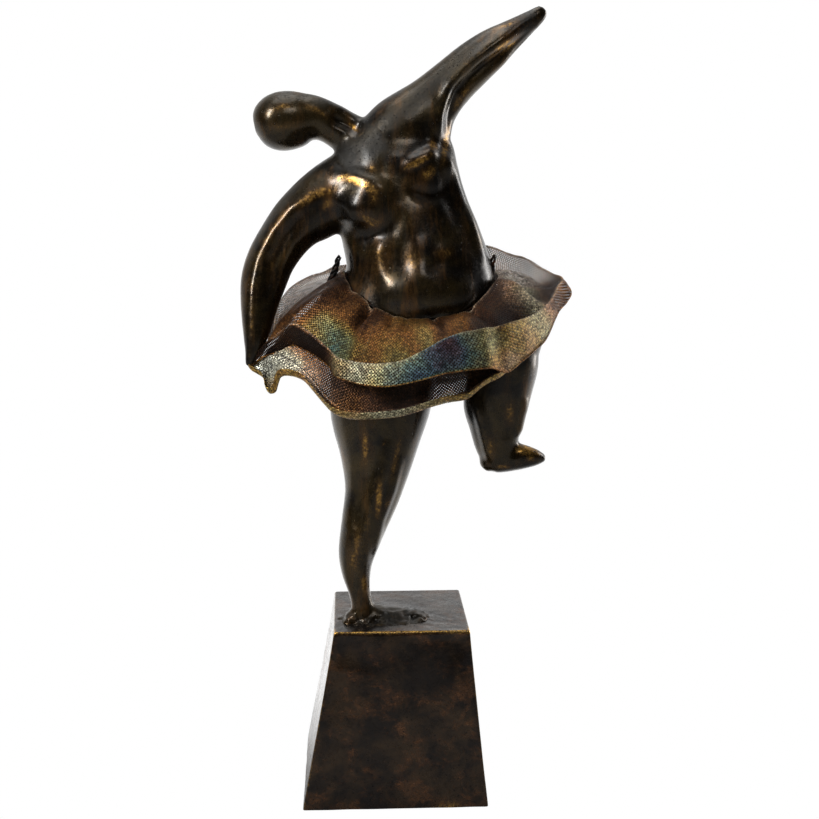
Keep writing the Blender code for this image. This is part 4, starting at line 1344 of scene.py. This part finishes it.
def bronzeMaterial(name, look):
    made, tree, shader = newMaterial(name)
    place = node(tree, "TexCoord").outputs["Object"]
    proud = painted(tree, "proud")
    gold = painted(tree, "gold")
    dullAndSheen = painted(tree, "dullAndSheen")
    pitShare = scaled(tree, dullAndSheen, 0.7, look["pitShare"])
    surface = useGroup(tree, castSkin, {"Vector": place, "Pit Share": pitShare})
    sizes = {"Cloud Size": look["cloudSize"], "Stretch": look["stretch"], "Streak Size": look["streakSize"]}
    film = useGroup(tree, patina, {"Vector": place, **sizes})
    breakup = plus(tree, times(tree, film["Veins"], 0.55), times(tree, film["Specks"], 0.5))
    rubbingAndHighlights = {"Gold": gold, "Proud": proud, "Breakup": breakup, "Edge Share": look["edgeShare"]}
    # wear, and painted highlights where the strokes sit on lit places
    worn = useGroup(tree, rubAndHighlight, rubbingAndHighlights)["Wear"]
    shade = blendOf(tree, times(tree, film["Clouds"], look["brownShare"]), look["deep"], look["brown"])
    brushed = scaled(tree, film["Streaks"], 0.6, 0.25)
    warmed = times(tree, times(tree, film["Warmth"], brushed), look["warmShare"])
    shade = blendOf(tree, warmed, shade, look["warm"])
    hollow = times(tree, maths(tree, "MINIMUM", proud, 0.0), -0.8, clamp=True)
    shade = blendOf(tree, hollow, shade, look["deep"])
    # grey dust, and a painted sheen on what faces up
    shade = blendOf(tree, times(tree, dullAndSheen, 0.55), shade, look["dustAndSheen"])
    # a brown halo round each rubbed place, and bright metal inside it; some of these places are painted highlights
    shade = blendOf(tree, times(tree, gold, 0.4), shade, look["warm"])
    shade = blendOf(tree, times(tree, worn, 0.95), shade, look["gold"])
    shade = blendOf(tree, times(tree, surface["Pits"], 0.7), shade, (0.004, 0.003, 0.003))
    uneven = plus(tree, times(tree, film["Streaks"], 0.14), times(tree, dullAndSheen, 0.26))
    uneven = plus(tree, uneven, times(tree, film["Specks"], 0.08))
    fill(tree, shader, {
        "Base Color": shade,
        "Roughness": plus(tree, uneven, look["rough"]),
        "Metallic": scaled(tree, worn, 0.4, 0.55),
        "Coat Weight": maths(tree, "SUBTRACT", look["coat"], times(tree, dullAndSheen, look["coat"] * 0.7), clamp=True),
        "Coat Roughness": 0.17,
        "Specular IOR Level": 0.42,
    })
    # dull places are left coarser
    coarse = scaled(tree, dullAndSheen, 2.6, 1.0)
    bumped(tree, shader, times(tree, surface["Height"], coarse), 0.35, 0.0005)
    return made


figureBronze = bronzeMaterial("patinatedBronze", figureLook)
baseBronze = bronzeMaterial("brushedBaseBronze", baseLook)
for obj in castings.values():
    obj.data.materials.clear()
    obj.data.materials.append(figureBronze)
base.data.materials.clear()
base.data.materials.append(baseBronze)


def makeWeave():
    # round wires over and under each other, with open squares between
    tree, given, out = newGroup(
        "weave",
        [("Vector", "Vector", None), ("Wire Share", "Float", 0.4)],
        ["Cover", "Height"],
    )
    split = node(tree, "SeparateXYZ", {0: given["Vector"]}).outputs
    half = times(tree, given["Wire Share"], 0.5)
    rounds, covers = [], []
    for mine, other in ((split[0], split[1]), (split[1], split[0])):
        away = maths(tree, "PINGPONG", mine, 0.5)
        inside = maths(tree, "DIVIDE", away, half, clamp=True)
        dome = maths(tree, "SQRT", maths(tree, "SUBTRACT", 1.0, times(tree, inside, inside)))
        parity = maths(tree, "ROUND", mine)
        phase = times(tree, plus(tree, other, parity), math.pi)
        over = scaled(tree, maths(tree, "COSINE", phase), 0.15, 0.85)
        rounds.append(times(tree, dome, over))
        covers.append(maths(tree, "LESS_THAN", away, half))
    tree.links.new(maths(tree, "MAXIMUM", covers[0], covers[1]), out["Cover"])
    tree.links.new(maths(tree, "MAXIMUM", rounds[0], rounds[1]), out["Height"])
    return tree


weave = makeWeave()
meshLook = {
    "wireShare": 0.38,  # of the spacing; sets how much shows through
    "bias": 45.0,  # the ribbon is cut on the bias: degrees
    "rough": 0.30,
    "silver": (0.62, 0.60, 0.54),
    "film": [
        (0.00, (0.028, 0.013, 0.008)),
        (0.14, (0.118, 0.052, 0.020)),
        (0.28, (0.37, 0.165, 0.045)),
        (0.40, (0.38, 0.25, 0.068)),
        (0.52, (0.33, 0.31, 0.125)),
        (0.64, (0.11, 0.20, 0.17)),
        (0.76, (0.075, 0.135, 0.19)),
        (0.90, (0.125, 0.085, 0.12)),
        (1.00, (0.20, 0.11, 0.10)),
    ],
}


def meshMaterial():
    made, tree, shader = newMaterial("wovenCopper")
    place = node(tree, "TexCoord").outputs["Object"]
    straight = node(tree, "UVMap", uv_map="cloth").outputs[0]
    turned = {"Vector": straight, "Angle": math.radians(meshLook["bias"])}
    cloth = node(tree, "VectorRotate", turned, rotation_type="Z_AXIS").outputs[0]
    film = painted(tree, "film")
    silver = painted(tree, "silver")
    dense = painted(tree, "dense")
    paintedShade = painted(tree, "paintedShade")
    pressed = plus(tree, times(tree, dense, 0.34), meshLook["wireShare"])
    threads = useGroup(tree, weave, {"Vector": cloth, "Wire Share": pressed})
    drift = grain(tree, place, 95.0, 6.0, roughness=0.72)
    fleck = grain(tree, cloth, 0.55, 2.0)
    drifted = times(tree, maths(tree, "SUBTRACT", drift, 0.5), 0.36)
    stray = plus(tree, drifted, times(tree, maths(tree, "SUBTRACT", fleck, 0.5), 0.16))
    ramp = tree.nodes.new("ShaderNodeValToRGB")
    stops = ramp.color_ramp.elements
    while len(stops) < len(meshLook["film"]):
        stops.new(0.5)
    for stop, (at, colour) in zip(stops, meshLook["film"]):
        stop.position = at
        stop.color = (*colour, 1)
    tree.links.new(plus(tree, film, stray, clamp=True), ramp.inputs[0])
    shade = blendOf(tree, times(tree, silver, 0.85, clamp=True), ramp.outputs[0], meshLook["silver"])
    # no two threads shine the same
    run = node(tree, "SeparateXYZ", {0: cloth}).outputs
    upright, level = (
        node(tree, "TexWhiteNoise", {"W": maths(tree, "ROUND", at)}, noise_dimensions="1D").outputs["Value"]
        for at in (run[0], plus(tree, run[1], 0.37))
    )
    lively = scaled(tree, plus(tree, upright, level), 0.20, 0.85)
    sparkle = grain(tree, place, 750.0, 3.0, roughness=0.6)
    lively = times(tree, lively, between(tree, sparkle, 0.36, 0.64, 0.45, 1.65))
    glint = node(tree, "CombineColor", {0: lively, 1: lively, 2: lively}).outputs[0]
    shade = blendOf(tree, 1.0, shade, glint, "MULTIPLY")
    shadow = maths(tree, "SUBTRACT", 1.0, maths(tree, "POWER", threads["Height"], 1.5), clamp=True)
    shade = blendOf(tree, shadow, shade, (0.012, 0.006, 0.005))
    # painted shade in the valleys and under the upper flounce
    shade = blendOf(tree, times(tree, paintedShade, 0.9), shade, (0.010, 0.005, 0.004))
    fill(tree, shader, {
        "Base Color": shade,
        "Alpha": threads["Cover"],
        "Roughness": plus(tree, times(tree, drift, 0.2), meshLook["rough"]),
        "Metallic": 0.75,
    })
    bumped(tree, shader, threads["Height"], 0.9, 0.0003)
    return made


copper = meshMaterial()
for obj in (upper, lower):
    obj.data.materials.append(copper)


def wireMaterial():
    made, tree, shader = newMaterial("blackIronWire")
    rust = grain(tree, node(tree, "TexCoord").outputs["Object"], 400.0, 4.0)
    fill(tree, shader, {
        "Base Color": blendOf(tree, between(tree, rust, 0.45, 0.7), (0.012, 0.011, 0.010), (0.09, 0.035, 0.015)),
        "Roughness": between(tree, rust, 0.3, 0.7, 0.35, 0.7),
        "Metallic": 0.8,
    })
    return made


wire.data.materials.append(wireMaterial())


def machinedMetal(name, bright, dark, markSize):
    # turned or filed stock: fine marks one way, a little tarnish
    made, tree, shader = newMaterial(name)
    place = node(tree, "TexCoord").outputs["Object"]
    drawn = node(tree, "VectorMath", {0: place, 1: (1.0, 1.0, 9.0)}, operation="MULTIPLY").outputs[0]
    marks = grain(tree, drawn, markSize, 4.0, roughness=0.7)
    film = useGroup(tree, patina, {"Vector": place, "Cloud Size": 160.0})
    shade = blendOf(tree, times(tree, film["Clouds"], 0.5), bright, dark)
    shade = blendOf(tree, times(tree, marks, 0.35), shade, dark)
    fill(tree, shader, {
        "Base Color": shade,
        "Roughness": between(tree, marks, 0.3, 0.7, 0.22, 0.48),
        "Metallic": 1.0,
    })
    bumped(tree, shader, marks, 0.25, 0.0001)
    return made


def feltMaterial():
    made, tree, shader = newMaterial("pressedFelt")
    place = node(tree, "TexCoord").outputs["Object"]
    matted = grain(tree, place, 900.0, 6.0, roughness=0.8, distortion=1.5)
    strands = node(tree, "TexVoronoi", {"Vector": place, "Scale": 1400.0}, feature="DISTANCE_TO_EDGE").outputs[0]
    worn = grain(tree, place, 60.0, 3.0)
    shade = blendOf(tree, between(tree, matted, 0.35, 0.65), (0.010, 0.022, 0.014), (0.030, 0.062, 0.036))
    shade = blendOf(tree, between(tree, worn, 0.5, 0.75, 0.0, 0.5), shade, (0.06, 0.075, 0.055))
    fill(tree, shader, {"Base Color": shade, "Roughness": 0.95})
    height = plus(tree, matted, times(tree, strands, 0.6))
    bumped(tree, shader, height, 0.7, 0.0003)
    return made


steel = machinedMetal("turnedSteel", (0.52, 0.52, 0.53), (0.20, 0.19, 0.18), 700.0)
rodBronze = machinedMetal("turnedBronze", (0.55, 0.34, 0.13), (0.16, 0.09, 0.035), 700.0)
plainParts = {
    "base_felt": feltMaterial(),
    "heel_stud": steel,
    "stud_washer": steel,
    "stud_nut": steel,
    "toe_pin": rodBronze,
    "neck_dowel": rodBronze,
    "raised_arm_dowel": rodBronze,
    "lowered_arm_dowel": rodBronze,
    "standing_hip_collar": rodBronze,
    "raised_hip_collar": rodBronze,
}
for name, finish in plainParts.items():
    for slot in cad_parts[name].material_slots:
        slot.material = finish
print("finishes on")
